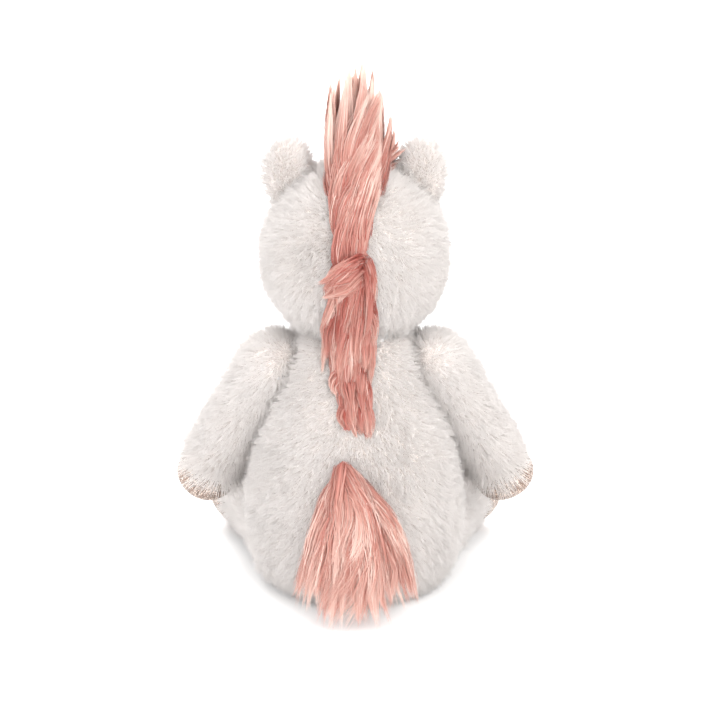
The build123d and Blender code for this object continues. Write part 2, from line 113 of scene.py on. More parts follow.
def smooth_line(stations, count, closed_on_axis=False):
    """A Catmull-Rom curve through the stations, read at count places an equal arc length apart.
    On the axis the curve is carried on as its own mirror image, so that it meets the axis square."""
    p = np.asarray(stations, float)
    flip = np.array([-1.0] + [1.0] * (p.shape[1] - 1))
    first, last = (p[1] * flip, p[-2] * flip) if closed_on_axis else (2 * p[0] - p[1], 2 * p[-1] - p[-2])
    q = np.vstack([first, p, last])
    t = np.linspace(0, 1, 24, endpoint=False)[:, None, None]
    a, b, c, d = q[:-3], q[1:-2], q[2:-1], q[3:]
    run = 0.5 * (2 * b + (c - a) * t + (2 * a - 5 * b + 4 * c - d) * t**2 + (3 * b - a - 3 * c + d) * t**3)
    fine = np.vstack([run.transpose(1, 0, 2).reshape(-1, p.shape[1]), p[-1]])
    along = np.concatenate([[0], np.cumsum(np.linalg.norm(np.diff(fine, axis=0), axis=1))])
    at = np.linspace(0, along[-1], count)
    return np.stack([np.interp(at, along, fine[:, k]) for k in range(p.shape[1])], 1)


def lattice(cells, seed):
    """Three repeatable numbers from -1 to 1 for each whole-numbered cell, by mixing its numbers' bits."""
    c = cells.astype(np.int64)
    n = (c[..., 0] * 73856093) ^ (c[..., 1] * 19349663) ^ (c[..., 2] * 83492791) ^ (seed * 2654435761)
    out = []
    for k in range(3):
        m = (n + k * 374761393) & 0xFFFFFFFF
        m = ((m ^ (m >> 15)) * 2246822519) & 0xFFFFFFFF
        m = ((m ^ (m >> 13)) * 3266489917) & 0xFFFFFFFF
        out.append(((m ^ (m >> 16)) & 0xFFFFFF) / 0x7FFFFF - 1.0)
    return np.stack(out, -1)


def drift(points, size, seed):
    """A smooth vector field: lattice values blended over each cell by 3f2 - 2f3 in all three directions."""
    g = points / size
    cell = np.floor(g)
    f = g - cell
    w = f * f * (3 - 2 * f)
    total = 0
    for corner in np.ndindex(2, 2, 2):
        side = np.array(corner)
        share = np.prod(np.where(side == 1, w, 1 - w), axis=-1, keepdims=True)
        total = total + share * lattice(cell + side, seed)
    return total


def nearest_tuft(points, size, seed):
    """The nearest of a scatter of centres, one at a jittered place in each cell of that size."""
    cell = np.floor(points / size)
    best, found = None, None
    for corner in np.ndindex(3, 3, 3):
        c = cell + np.array(corner) - 1
        centre = (c + 0.5 + 0.45 * lattice(c, seed)) * size
        far = ((centre - points) ** 2).sum(-1)
        if best is None:
            best, found = far, centre
        else:
            nearer = far < best
            best = np.where(nearer, far, best)
            found = np.where(nearer[:, None], centre, found)
    return found


def away_from(points, start, end):
    """Unit vectors from the nearest place on the line start-end to each point."""
    start, end = np.asarray(start, float), np.asarray(end, float)
    run = end - start
    t = np.clip(((points - start) @ run) / (run @ run), 0, 1)[..., None]
    return unit(points - (start + t * run))


# ---------------------------------------------------------------- meshes
def build(name, points, faces, material, smooth=True, values=None, normals=None):
    """A mesh object from arrays: points (n, 3) in metres, faces a list of (m, 3) or (m, 4) index arrays, values
    a number per point for each named attribute, normals a unit vector per point."""
    mesh = bpy.data.meshes.new(name)
    points = np.asarray(points, np.float32).reshape(-1, 3)
    corners = np.concatenate([f.reshape(-1) for f in faces]).astype(np.int32)
    sizes = np.concatenate([np.full(len(f), f.shape[1]) for f in faces]).astype(np.int32)
    starts = np.concatenate([[0], np.cumsum(sizes)[:-1]]).astype(np.int32)
    mesh.vertices.add(len(points))
    mesh.vertices.foreach_set("co", points.ravel())
    mesh.loops.add(len(corners))
    mesh.loops.foreach_set("vertex_index", corners)
    mesh.polygons.add(len(sizes))
    mesh.polygons.foreach_set("loop_start", starts)
    mesh.polygons.foreach_set("use_smooth", np.full(len(sizes), smooth))
    mesh.update(calc_edges=True)
    for key, numbers in (values or {}).items():
        layer = mesh.attributes.new(key, "FLOAT", "POINT")
        layer.data.foreach_set("value", np.asarray(numbers, np.float32).ravel())
    if normals is not None:
        mesh.normals_split_custom_set_from_vertices(np.asarray(normals, np.float32).reshape(-1, 3))
    obj = bpy.data.objects.new(name, mesh)
    bpy.context.scene.collection.objects.link(obj)
    if material is not None:
        mesh.materials.append(material)
    return obj


def read_points(mesh, key="co"):
    """The mesh's points, or its smooth normals for the key "normal", one to a row."""
    values = np.empty(len(mesh.vertices) * 3, np.float32)
    mesh.vertices.foreach_get(key, values)
    return values.reshape(-1, 3).astype(float)


def write_points(mesh, points):
    mesh.vertices.foreach_set("co", points.astype(np.float32).ravel())


def ring_faces(rows, sides, first=0):
    """Quads between rows of points round a ring; row k, place j is point first + k sides + j."""
    k, j = np.meshgrid(np.arange(rows - 1), np.arange(sides), indexing="ij")
    n = (j + 1) % sides
    corners = [k * sides + j, k * sides + n, (k + 1) * sides + n, (k + 1) * sides + j]
    return first + np.stack(corners, -1).reshape(-1, 4)


def closed_faces(rows, sides):
    """ring_faces with a fan to a lowest point, number 0, and a fan to a highest point, the last."""
    i = np.arange(sides)
    n = (i + 1) % sides
    top = 1 + (rows - 1) * sides
    low = np.stack([np.zeros(sides, int), 1 + n, 1 + i], -1)
    high = np.stack([top + i, top + n, np.full(sides, top + sides)], -1)
    return [ring_faces(rows, sides, 1), low, high]


def axis_frame(direction, hint=(0, 0, 1)):
    """Two unit vectors square to a direction and to each other."""
    d = unit(np.asarray(direction, float))
    a = unit(np.cross(hint, d))
    return a, np.cross(d, a)


def turned(profile, sides, origin=(0, 0, 0), direction=(0, 0, 1), squeeze=None):
    """A closed solid of revolution. A point is origin + r (a cos u + b sin u) + h d, for (r, h) along the profile
    in millimetres and u round the axis; the profile starts and ends on the axis. squeeze moves the points last."""
    profile = np.asarray(profile, float) * MM
    d = unit(np.asarray(direction, float))
    a, b = axis_frame(d, (0, 0, 1) if abs(d[2]) < 0.9 else (0, 1, 0))
    u = np.linspace(0, 2 * np.pi, sides, endpoint=False)
    ring = np.cos(u)[:, None] * a + np.sin(u)[:, None] * b
    inner = profile[1:-1]
    body = inner[:, None, 0:1] * ring[None] + inner[:, None, 1:2] * d
    points = np.vstack([profile[0, 1] * d, body.reshape(-1, 3), profile[-1, 1] * d])
    points = points + np.asarray(origin, float)
    if squeeze is not None:
        points = squeeze(points)
    return points, closed_faces(len(inner), sides)


def carried(path, radius, sides=10):
    """A closed tube: at each path point a ring of that radius, square to the path, with a point at each end."""
    path = np.asarray(path, float)
    radius = np.broadcast_to(np.asarray(radius, float), (len(path),))
    along = unit(np.gradient(path, axis=0))
    a = unit(np.cross(along, np.where(np.abs(along[:, 2:3]) < 0.9, UP, [0.0, 1.0, 0.0])))
    b = np.cross(along, a)
    u = np.linspace(0, 2 * np.pi, sides, endpoint=False)
    round_path = np.cos(u)[None, :, None] * a[:, None] + np.sin(u)[None, :, None] * b[:, None]
    rings = path[:, None] + radius[:, None, None] * round_path
    points = np.vstack([path[:1], rings.reshape(-1, 3), path[-1:]])
    return points, closed_faces(len(path), sides)


def evaluated_mesh(obj):
    """The object's mesh with its modifiers applied, as a new mesh."""
    depsgraph = bpy.context.evaluated_depsgraph_get()
    return bpy.data.meshes.new_from_object(obj.evaluated_get(depsgraph))


def bake(obj):
    """Puts the mesh that its modifiers make in the object's own place, and drops the modifiers."""
    mesh = evaluated_mesh(obj)
    obj.modifiers.clear()
    obj.data = mesh


def belong(obj, body, nodes=()):
    """Files a finished piece: hides the nodes it stands for and attaches it to the body that carries it."""
    if nodes:
        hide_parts(*nodes)
    if body:
        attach(obj, body)


def stuffed(shells, voxel=0.0045, pressure=4.0, cap=0.0025, frames=20):
    """Swells closed shells as stuffing does: each is remeshed, pressed outwards by a cloth simulation with its
    seams held and every point's travel kept under cap, and then subdivided once. Lengths are metres."""
    for obj, seam in shells:
        remesh = obj.modifiers.new("remesh", "REMESH")
        remesh.mode = "VOXEL"
        remesh.voxel_size = voxel
        material = obj.data.materials[0]
        bake(obj)
        if not obj.data.materials:
            obj.data.materials.append(material)
    scene = bpy.context.scene
    for obj, seam in shells:
        held = obj.vertex_groups.new(name="seams")
        rest = read_points(obj.data)
        for step in range(1, 5):
            chosen = np.nonzero((seam(rest) * 4).round() == step)[0]
            held.add(chosen.tolist(), step / 4, "REPLACE")
        cloth = obj.modifiers.new("cloth", "CLOTH")
        cloth.settings.use_pressure = True
        cloth.settings.uniform_pressure_force = pressure
        cloth.settings.effector_weights.gravity = 0
        cloth.settings.vertex_group_mass = "seams"
        cloth.settings.tension_stiffness = 15
        cloth.settings.compression_stiffness = 15
        cloth.settings.quality = 4
        cloth.collision_settings.use_collision = False
        cloth.point_cache.frame_start = 1
        cloth.point_cache.frame_end = frames
    for number in range(1, frames + 1):
        scene.frame_set(number)
    swollen = [evaluated_mesh(obj) for obj, _ in shells]
    for (obj, _), mesh in zip(shells, swollen):
        obj.modifiers.clear()
        rest = read_points(obj.data)
        move = read_points(mesh) - rest
        length = np.linalg.norm(move, axis=1, keepdims=True)
        write_points(obj.data, rest + move * np.minimum(1, cap / np.maximum(length, 1e-9)))
        bpy.data.meshes.remove(mesh)
    scene.frame_set(1)
    for obj, _ in shells:
        split = obj.modifiers.new("smooth", "SUBSURF")
        split.levels = split.render_levels = 1
        bake(obj)
        mesh = obj.data
        obj.vertex_groups.clear()
        points = read_points(mesh)
        points[:, 2] = np.maximum(points[:, 2], 0.0002)
        write_points(mesh, points)
        mesh.polygons.foreach_set("use_smooth", np.full(len(mesh.polygons), True))
        mesh.update()


# ---------------------------------------------------------------- strands
def scatter(mesh, density, rng):
    """Random places on a mesh, density to the square millimetre, with the smooth normals there."""
    mesh.calc_loop_triangles()
    tris = np.empty(len(mesh.loop_triangles) * 3, np.int32)
    mesh.loop_triangles.foreach_get("vertices", tris)
    tris = tris.reshape(-1, 3)
    co, normal = read_points(mesh), read_points(mesh, "normal")
    a, b, c = (co[tris[:, k]] for k in range(3))
    area = np.linalg.norm(np.cross(b - a, c - a), axis=1) / 2 / MM**2
    count = rng.poisson(area * density)
    which = np.repeat(np.arange(len(tris)), count)
    s, t = rng.random(len(which)), rng.random(len(which))
    fold = s + t > 1
    s, t = np.where(fold, 1 - s, s)[:, None], np.where(fold, 1 - t, t)[:, None]
    w = 1 - s - t
    i, j, k = (tris[which, corner] for corner in range(3))
    return co[i] * w + co[j] * s + co[k] * t, unit(normal[i] * w + normal[j] * s + normal[k] * t)


def needles(roots, tips, outward, width, rng):
    """Three-sided fibres: a ring of three points, width across, round each root, and a point at the tip. The
    root's end is open, inside the skin. Returns points, faces, normals, share of length, a number per fibre."""
    n = len(roots)
    along = unit(tips - roots)
    a = unit(np.cross(along, unit(rng.normal(size=(n, 3)))))
    b = np.cross(along, a)
    u = np.arange(3) * 2 * np.pi / 3
    ring = np.cos(u)[None, :, None] * a[:, None] + np.sin(u)[None, :, None] * b[:, None]
    points = np.concatenate([roots[:, None] + ring * (width[:, None, None] / 2), tips[:, None]], 1)
    soft = unit(0.8 * outward[:, None] + 0.5 * ring + 0.15 * along[:, None])
    normals = np.concatenate([soft, unit(outward + 0.3 * along)[:, None]], 1)
    faces = np.array([[0, 1, 3], [1, 2, 3], [2, 0, 3]]) + 4 * np.arange(n)[:, None, None]
    share, own = np.tile([0.0, 0.0, 0.0, 1.0], n), np.repeat(rng.random(n), 4)
    return points.reshape(-1, 3), [faces.reshape(-1, 3)], normals.reshape(-1, 3), share, own


def ribbons(paths, outward, width, rng):
    """Flat tapered strands that face outward, with their edges' normals leant aside so that they shade as round.
    paths and outward are (n, k, 3); half the width follows sin(pi (0.14 + 0.86 t))^0.6, up to a tip point."""
    n, k, _ = paths.shape
    along = unit(np.gradient(paths, axis=1))
    side = unit(np.cross(along, outward))
    t = np.linspace(0, 1, k)
    swell = np.sin(np.pi * (0.14 + 0.86 * t)) ** 0.6
    half = (width[:, None] / 2 * swell[None])[:, :-1, None]
    left, right = paths[:, :-1] - side[:, :-1] * half, paths[:, :-1] + side[:, :-1] * half
    points = np.concatenate([np.stack([left, right], 2).reshape(n, -1, 3), paths[:, -1:]], 1)
    face = unit(outward - along * (outward * along).sum(-1, keepdims=True))
    normal = unit(0.65 * face + 0.35 * outward)
    pair = np.stack([unit(normal - 0.45 * side), unit(normal + 0.45 * side)], 2)[:, :-1]
    normals = np.concatenate([pair.reshape(n, -1, 3), normal[:, -1:]], 1)
    share = np.concatenate([np.repeat(t[:-1], 2), [1.0]])
    q = np.arange(k - 2)[:, None] * 2
    quads = q + np.array([[0, 1, 3, 2]])
    tip = np.array([[2 * (k - 2), 2 * (k - 2) + 1, 2 * (k - 1)]])
    per = 2 * (k - 1) + 1
    base = (np.arange(n) * per)[:, None, None]
    faces = [(quads[None] + base).reshape(-1, 4), (tip[None] + base).reshape(-1, 3)]
    own = np.repeat(rng.random(n), per)
    return points.reshape(-1, 3), faces, normals.reshape(-1, 3), np.tile(share, n), own


def strands_piece(name, made, material, tone=None, fade=(0.0, 1.0)):
    """A piece from needles() or ribbons(). Each point keeps its share of the length, from fade[0] at the root to
    fade[1] at the tip, its strand's own random number, and its lock's tone if there is one."""
    points, faces, normals, share, own = made
    points[:, 2] = np.maximum(points[:, 2], 0.0003)
    values = {"length_share": fade[0] + (fade[1] - fade[0]) * share, "strand": own}
    if tone is not None:
        values["lock"] = np.repeat(tone, len(points) // len(tone))
    return build(name, points, faces, material, values=values, normals=normals)


def pile(name, skin, body, node, density, length, width, seed, comb=DOWN, lean=0.5, keep=None, trim=None):
    """Short plush pile on a skin. Each fibre leaves along the skin's normal, leaning by lean towards comb, drifting
    with a smooth field, its tip pulled towards the nearest tuft's middle. keep picks places, trim scales lengths."""
    rng = np.random.default_rng(seed)
    roots, ups = scatter(skin.data, density, rng)
    chosen = keep(roots)
    roots, ups = roots[chosen], ups[chosen]
    wanted = np.broadcast_to(np.asarray(comb, float), roots.shape)
    flat = wanted - ups * (wanted * ups).sum(1, keepdims=True)
    swirl = drift(roots, 14 * MM, seed + 1)
    heading = unit(ups + lean * flat + 0.32 * swirl + 0.20 * rng.normal(size=roots.shape))
    middle = nearest_tuft(roots, 4.4 * MM, seed + 3)
    tall = 1 + 0.20 * lattice(np.round(middle * 1e5), seed + 4)[:, 0]
    uneven = 1 + 0.10 * drift(roots, 22 * MM, seed + 2)[:, 0]
    long = length * (0.74 + 0.32 * rng.random(len(roots))) * tall * uneven
    if trim is not None:
        long = long * trim(roots)
    to_middle = middle - roots
    to_middle -= ups * (to_middle * ups).sum(1, keepdims=True)
    pull = np.minimum(0.07 * long[:, None] / MM, 0.6)
    tips = roots + heading * long[:, None] + pull * to_middle
    wide = width * (0.75 + 0.5 * rng.random(len(roots)))
    made = needles(roots - ups * 0.4 * MM, tips, ups, wide, rng)
    belong(strands_piece(name, made, finish(white_pile)), body, [node])


def bezier(p0, p1, p2, p3, count):
    """Cubic curves: (1-t)^3 p0 + 3 (1-t)^2 t p1 + 3 (1-t) t^2 p2 + t^3 p3 at count even steps of t."""
    t = np.linspace(0, 1, count)[None, :, None]
    p0, p1, p2, p3 = (p[:, None] for p in (p0, p1, p2, p3))
    return (1 - t) ** 3 * p0 + 3 * (1 - t) ** 2 * t * p1 + 3 * (1 - t) * t**2 * p2 + t**3 * p3


def locks(guides, outward, per_lock, spread, width, seed, tip_spread=0.16, fray=0.5):
    """Strands gathered into locks. A strand follows its lock's guide, set off from it by up to spread times
    1 + 0.35 sin(pi t) - (1 - tip_spread) t^1.7, wanders with a smooth field, and ends a little short or long.
    It faces outward, leant by 0.9 cos(twist) to the side it stands on, so that a lock shades as round."""
    rng = np.random.default_rng(seed)
    n, k, _ = guides.shape
    own = np.repeat(np.arange(n), per_lock)
    guide = guides[own]
    out = outward[own]
    t = np.linspace(0, 1, k)
    gather = 1 + 0.35 * np.sin(np.pi * t) - (1 - tip_spread) * t**1.7
    along = unit(np.gradient(guide, axis=1))
    side = unit(np.cross(along, out))
    angle, far = rng.random(len(own)) * 2 * np.pi, np.sqrt(rng.random(len(own))) * spread[own]
    twist = angle[:, None] + 1.4 * (rng.random(n)[own][:, None] - 0.5) * t[None] * 2
    across, lift = np.cos(twist)[..., None], np.sin(twist)[..., None]
    paths = guide + (across * side + 0.55 * lift * out) * (far[:, None] * gather[None])[..., None]
    out = unit(out + 0.9 * across * side)
    apart = paths + rng.normal(size=(len(own), 1, 3)) * 2 * MM
    wander = drift(apart.reshape(-1, 3), 9 * MM, seed + 5).reshape(paths.shape)
    paths = paths + wander * (fray * MM * t[None, :, None] * 2)
    reach = (0.80 + 0.26 * rng.random(len(own)))[:, None, None]
    paths = paths[:, :1] + (paths - paths[:, :1]) * reach
    wide = width * (0.7 + 0.6 * rng.random(len(own)))
    return paths, out, wide, rng.random(n)[own]


# ---------------------------------------------------------------- shader maths
class Wire:
    """A shader socket that can be used in Python expressions; each operation adds its Math node."""

    def __init__(self, finish, socket):
        self.finish = finish
        self.socket = socket

    def math(self, operation, other=0.0, swap=False, clamp=False):
        pair = (other, self) if swap else (self, other)
        settings = {"operation": operation, "use_clamp": clamp}
        return self.finish.node("ShaderNodeMath", settings, dict(enumerate(pair)))

    def __add__(self, other):
        return self.math("ADD", other)

    def __radd__(self, other):
        return self.math("ADD", other, swap=True)

    def __sub__(self, other):
        return self.math("SUBTRACT", other)

    def __rsub__(self, other):
        return self.math("SUBTRACT", other, swap=True)

    def __mul__(self, other):
        return self.math("MULTIPLY", other)

    def __rmul__(self, other):
        return self.math("MULTIPLY", other, swap=True)

    def __pow__(self, other):
        return self.math("POWER", other)

    def above_zero(self):
        return self.math("GREATER_THAN")

    def clamped(self):
        return self.math("ADD", clamp=True)


class Finish:
    """A material and its node tree, with one method that adds any node."""

    def __init__(self, name):
        self.colours = bpy.context.scene.plush_colours
        self.material = bpy.data.materials.new(name)
        self.material.use_nodes = True
        self.nodes = self.material.node_tree.nodes
        self.links = self.material.node_tree.links
        self.nodes.clear()
        self.end = self.nodes.new("ShaderNodeOutputMaterial")

    def node(self, kind, settings=None, inputs=None, out=0):
        """Adds a node: settings first (stops is a ramp's list of (place, colour)), then its sockets' values."""
        made = self.nodes.new(kind)
        for key, value in (settings or {}).items():
            if key == "stops":
                ramp = made.color_ramp.elements
                while len(ramp) < len(value):
                    ramp.new(1.0)
                for stop, (at, colour) in zip(ramp, value):
                    stop.position, stop.color = at, (*colour, 1.0)
            else:
                setattr(made, key, value)
        for key, value in (inputs or {}).items():
            if isinstance(value, Wire):
                self.links.new(value.socket, made.inputs[key])
            else:
                made.inputs[key].default_value = value
        return Wire(self, made.outputs[out])

    def attribute(self, name):
        return self.node("ShaderNodeAttribute", {"attribute_name": name}, out=2)

    def place(self):
        return self.node("ShaderNodeTexCoord", out=3)

    def blend(self, factor, a, b):
        """A colour between a and b, which are triples or wires."""
        ends = [colour if isinstance(colour, Wire) else (*colour, 1.0) for colour in (a, b)]
        return self.node("ShaderNodeMix", {"data_type": "RGBA"}, {0: factor, 6: ends[0], 7: ends[1]}, out=2)

    def noise(self, scale, detail=3.0, rough=0.55):
        sockets = {"Vector": self.place(), "Scale": scale, "Detail": detail, "Roughness": rough}
        return self.node("ShaderNodeTexNoise", None, sockets)

    def cells(self, scale, out=0):
        """The distance to the nearest of a scatter of points; out=1 gives each point's own random colour."""
        return self.node("ShaderNodeTexVoronoi", None, {"Vector": self.place(), "Scale": scale}, out)

    def rows(self, direction, scale, distortion=0.0):
        sockets = {"Vector": self.place(), "Scale": scale, "Distortion": distortion}
        return self.node("ShaderNodeTexWave", {"bands_direction": direction}, sockets)

    def bump(self, height, strength, distance):
        sockets = {"Height": height, "Strength": strength, "Distance": distance}
        return self.node("ShaderNodeBump", None, sockets)

    def surface(self, **sockets):
        """Joins a Principled shader with these sockets to the output."""
        named = {key.replace("_", " "): value for key, value in sockets.items()}
        return self.shown(self.node("ShaderNodeBsdfPrincipled", None, named))

    def shown(self, shader):
        self.links.new(shader.socket, self.end.inputs[0])
        return shader

    def light_through(self, front, share, factor, dark, light):
        """Mixes a share of translucency into the front shader; factor runs between its two fixed colours."""
        colours = [{"Color": (*tone, 1.0)} for tone in (dark, light)]
        tones = [self.node("ShaderNodeBsdfTranslucent", None, sockets) for sockets in colours]
        behind = self.node("ShaderNodeMixShader", None, {0: factor, 1: tones[0], 2: tones[1]})
        self.shown(self.node("ShaderNodeMixShader", None, {0: share, 1: front, 2: behind}))

    def cloth(self, tone, dark, light, height, strength, distance, **sockets):
        """A surface whose colour runs from dark to light with tone, and whose relief follows height."""
        relief = self.bump(height, strength, distance)
        self.surface(Base_Color=self.blend(tone, dark, light), Normal=relief, **sockets)


MATERIALS = {}


def finish(make):
    """The material that one of the functions below sets up, made once and named after it."""
    if make.__name__ not in MATERIALS:
        f = Finish(make.__name__)
        make(f)
        MATERIALS[make.__name__] = f.material
    return MATERIALS[make.__name__]


def white_pile(f):
    """Fine polyester fibres, each a little different: darker and warmer at the root, as painted shade deep in the
    pile, and clean at the tip.
    """
    root, tip = f.colours.pile_root, f.colours.pile_tip
    # The colour runs from the painted shade at the root to the clean tip.
    rise = f.attribute("length_share") ** 0.7
    warm = f.blend((f.noise(38.0, 2.0) - 0.42).clamped(), f.blend(rise, root, tip), (0.93, 0.87, 0.83))
    dusty = f.blend(f.attribute("strand") * 0.08, warm, (0.86, 0.80, 0.76))
    gloss = {"Specular_IOR_Level": 0.15, "Sheen_Weight": 0.25, "Sheen_Roughness": 0.6}
    front = f.surface(Base_Color=dusty, Roughness=0.85, **gloss)
    # The light let through is darker at the root too, the same painted shade.
    f.light_through(front, 0.45, rise, root, tip)


def pile_backing(f):
    """The knitted backing under the pile, rows of small loops, coloured darker than the fibres as painted shade in
    the gaps between the tufts.
    """
    loops = f.cells(900.0)
    f.cloth(f.noise(60.0), (0.56, 0.51, 0.48), (0.68, 0.62, 0.59), loops, 0.4, 0.0004, Roughness=0.95)


def mane_hair(f):
    """Long silky strands from a deep root to a pale tip, with whole locks and single strands set apart."""
    deep, root, middle, tip = (getattr(f.colours, "hair_" + part) for part in ("deep", "root", "middle", "tip"))
    share, own, lock = (f.attribute(name) for name in ("length_share", "strand", "lock"))
    along = (share + (own - 0.5) * 0.30 + (lock - 0.5) * 0.55).clamped()
    stops = [(0.0, deep), (0.24, root), (0.62, middle), (1.0, tip)]
    ramp = f.node("ShaderNodeValToRGB", {"stops": stops}, {"Fac": along})
    streak = (own - 0.90).above_zero() * 0.40
    colour = f.blend(streak, ramp, tip)
    front = f.surface(Base_Color=colour, Roughness=0.52, Specular_IOR_Level=0.30, Sheen_Weight=0.12)
    f.light_through(front, 0.48, (along ** 3.0 + streak).clamped(), root, tip)


def hair_backing(f):
    """Packed strands seen end on, under the loose ones."""
    grain, broad = f.noise(700.0, 4.0, 0.7), f.noise(90.0, 2.0)
    deep, middle = f.colours.hair_deep, f.colours.hair_middle
    f.cloth(grain * 0.6 + broad * 0.4, deep, middle, grain, 0.6, 0.0008, Roughness=0.9)


def strip_cloth(f):
    """A knitted strip in the mane's deepest colour."""
    loops = f.cells(1100.0)
    f.cloth(f.noise(120.0), f.colours.hair_deep, (0.36, 0.13, 0.13), loops, 0.5, 0.0004, Roughness=0.9)


def glitter(f):
    """Metallic flakes bonded to cloth: every cell of a fine pattern has its own tone, gloss and tilt."""
    flakes = f.cells(1500.0, out=1)
    chosen, second = (f.node("ShaderNodeSeparateColor", None, {"Color": flakes}, out) for out in (0, 1))
    dull, bright = f.colours.glitter_dull, f.colours.glitter_bright
    spark = (second - 0.86).above_zero()
    folds = f.noise(110.0)
    aged = f.blend((folds * 0.5).clamped(), f.blend(chosen, dull, bright), [c * 0.55 for c in dull])
    f.surface(
        Base_Color=f.blend(spark, aged, (0.80, 0.66, 0.57)),
        Metallic=0.55 + spark * 0.4,
        Roughness=0.52 - chosen * 0.25,
        Normal=f.bump(chosen + folds * 1.5, 0.55, 0.0005),
    )


def satin(f):
    """Smooth woven lining with a faint diagonal twill and slight creases."""
    twill, crease = f.rows("DIAGONAL", 900.0, 0.6), f.noise(70.0)
    f.cloth(twill * 0.25 + crease * 0.5, f.colours.satin, [c * 0.8 for c in f.colours.satin],
            twill * 0.3 + crease, 0.35, 0.0008, Roughness=0.38, Sheen_Weight=0.4)


def thread(f):
    """Satin stitches laid side by side."""
    rows = f.rows("X", 520.0, 0.8)
    f.cloth(rows, (0.36, 0.15, 0.13), (0.54, 0.27, 0.235), rows, 0.8, 0.0005, Roughness=0.45)


def metal_thread(f):
    """A twisted metallic yarn."""
    twist = f.rows("DIAGONAL", 1400.0)
    f.cloth(twist, (0.62, 0.44, 0.30), (0.93, 0.78, 0.60), twist, 0.6, 0.0003,
            Metallic=0.9, Roughness=0.3 + twist * 0.2)


def eye_gloss(f):
    """Polished black plastic with the faintest brown cloud in it."""
    cloud = f.noise(220.0)
    colour = f.blend(cloud, (0.008, 0.006, 0.006), (0.03, 0.016, 0.012))
    f.surface(Base_Color=colour, Roughness=0.05 + cloud * 0.05, Specular_IOR_Level=0.3)


def plain_plastic(f):
    """Moulded washers and loose pellets."""
    grain = f.noise(900.0, 4.0)
    f.cloth(grain, (0.74, 0.74, 0.72), (0.86, 0.86, 0.84), grain, 0.15, 0.0003, Roughness=0.45 + grain * 0.15)


def fibre_fill(f):
    """Teased polyester stuffing."""
    wisps = f.noise(320.0, 8.0, 0.75)
    f.cloth(wisps, (0.80, 0.80, 0.80), (0.95, 0.95, 0.95), wisps, 0.9, 0.002, Roughness=0.95)


def pouch_weave(f):
    """Plain cotton, two crossed sets of threads."""
    weave = f.rows("X", 600.0) * f.rows("Z", 600.0)
    f.cloth(weave, (0.70, 0.68, 0.63), (0.88, 0.86, 0.81), weave, 0.6, 0.0004, Roughness=0.9)


def floor_paper(f):
    """Smooth pale paper."""
    colour = f.blend(f.noise(8.0), f.colours.floor, [c * 0.985 for c in f.colours.floor])
    f.surface(Base_Color=colour, Roughness=0.9, Specular_IOR_Level=0.1)


# ---------------------------------------------------------------- sizes and colours a user may change
def length(name, description, default):
    """A length in metres that a user may change."""
    limits = {"min": 0.0001, "precision": 5, "unit": "LENGTH"}
    return FloatProperty(name=name, description=description, default=default, **limits)


def colour(name, description, *default):
    """A colour that a user may change."""
    return FloatVectorProperty(name=name, description=description, default=default, subtype="COLOR")


class PlushSizes(bpy.types.PropertyGroup):
    """Lengths of the pile and hair."""

    pile_length: length("Pile", "Length of the short pile", 0.0078)
    muzzle_pile: length("Muzzle pile", "Pile length on the muzzle", 0.0036)
    pile_density: FloatProperty(name="Density", description="Fibres to a square millimetre", default=2.45, min=0.1)
    fibre_width: length("Fibre", "Width of a fibre", 0.00041)
    strand_width: length("Strand", "Width of a strand of mane", 0.00042)
    strands_per_lock: IntProperty(name="Strands", description="Strands in one lock of mane", default=75, min=5)


class PlushColours(bpy.types.PropertyGroup):
    """Colours of the cloths and the hair."""

    # The root colour is darker than the tip's: painted shade deep in the pile.
    pile_root: colour("Pile root", "Pile colour at the root", 0.95, 0.897, 0.868)
    pile_tip: colour("Pile tip", "Pile colour at the tip", 0.99, 0.958, 0.935)
    hair_deep: colour("Hair depth", "Hair colour deep in the mane", 0.36, 0.080, 0.060)
    hair_root: colour("Hair root", "Hair colour near the root", 0.545, 0.230, 0.192)
    hair_middle: colour("Hair middle", "Hair colour half way", 0.630, 0.350, 0.290)
    hair_tip: colour("Hair tip", "Hair colour at the tip", 0.87, 0.70, 0.63)
    glitter_dull: colour("Glitter", "The glitter cloth's darker flakes", 0.14, 0.092, 0.072)
    glitter_bright: colour("Glitter light", "The glitter cloth's lighter flakes", 0.40, 0.285, 0.228)
    satin: colour("Satin", "The ear lining", 0.64, 0.36, 0.32)
    floor: colour("Floor", "The paper the toy sits on", 0.93, 0.93, 0.93)


SKINS = {}
# Millimetres from the cloth's outer face in to the skin, which the stuffing then swells.
INSET = 1.6


def corners(node):
    """The low and high corners of a node's box, as arrays in metres."""
    return tuple(np.array(corner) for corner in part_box(node))


def middle_half(node):
    """The middle of a node's box, and half its sides."""
    low, high = corners(node)
    return (low + high) / 2, (high - low) / 2


def limb_line(side, limb):
    """A limb's pivot and unit direction, from its joint and its hoof's box."""
    pivot = place(f"{limb}_{side}_" + ("lift" if limb == "arm" else "raise"))
    return pivot, unit(middle_half(f"{limb}_hoof_{side}")[0] - pivot)


def across_line(p, origin, direction):
    """How far along a line each point lies, and its offset square to the line."""
    rel = p - origin
    t = rel @ direction
    return t, rel - t[:, None] * direction


def shell(name, stations, level=False, **placing):
    """A turned skin inside a profile by INSET; level keeps its ends inside the top and bottom too."""
    low, high = (stations[0][1] + INSET, stations[-1][1] - INSET) if level else (-np.inf, np.inf)
    inner = [(max(r - INSET, 0), min(max(h, low), high)) for r, h in stations]
    return build(name, *turned(smooth_line(inner, 64, True), 72, **placing), finish(pile_backing))


def on_seam(distance):
    """1 on a seam, falling to 0 at 3 mm from it."""
    return np.clip(1 - distance / (3 * MM), 0, 1)


def belly_seams(p):
    """The middle back, the line where belly meets back, and the base."""
    back = np.where(p[:, 1] > 0, np.abs(p[:, 0]), 1)
    return on_seam(np.minimum(np.minimum(back, np.abs(p[:, 1] - BELLY_SEAM * MM)), p[:, 2]))


def head_seams(p):
    return on_seam(np.abs(p[:, 0]))


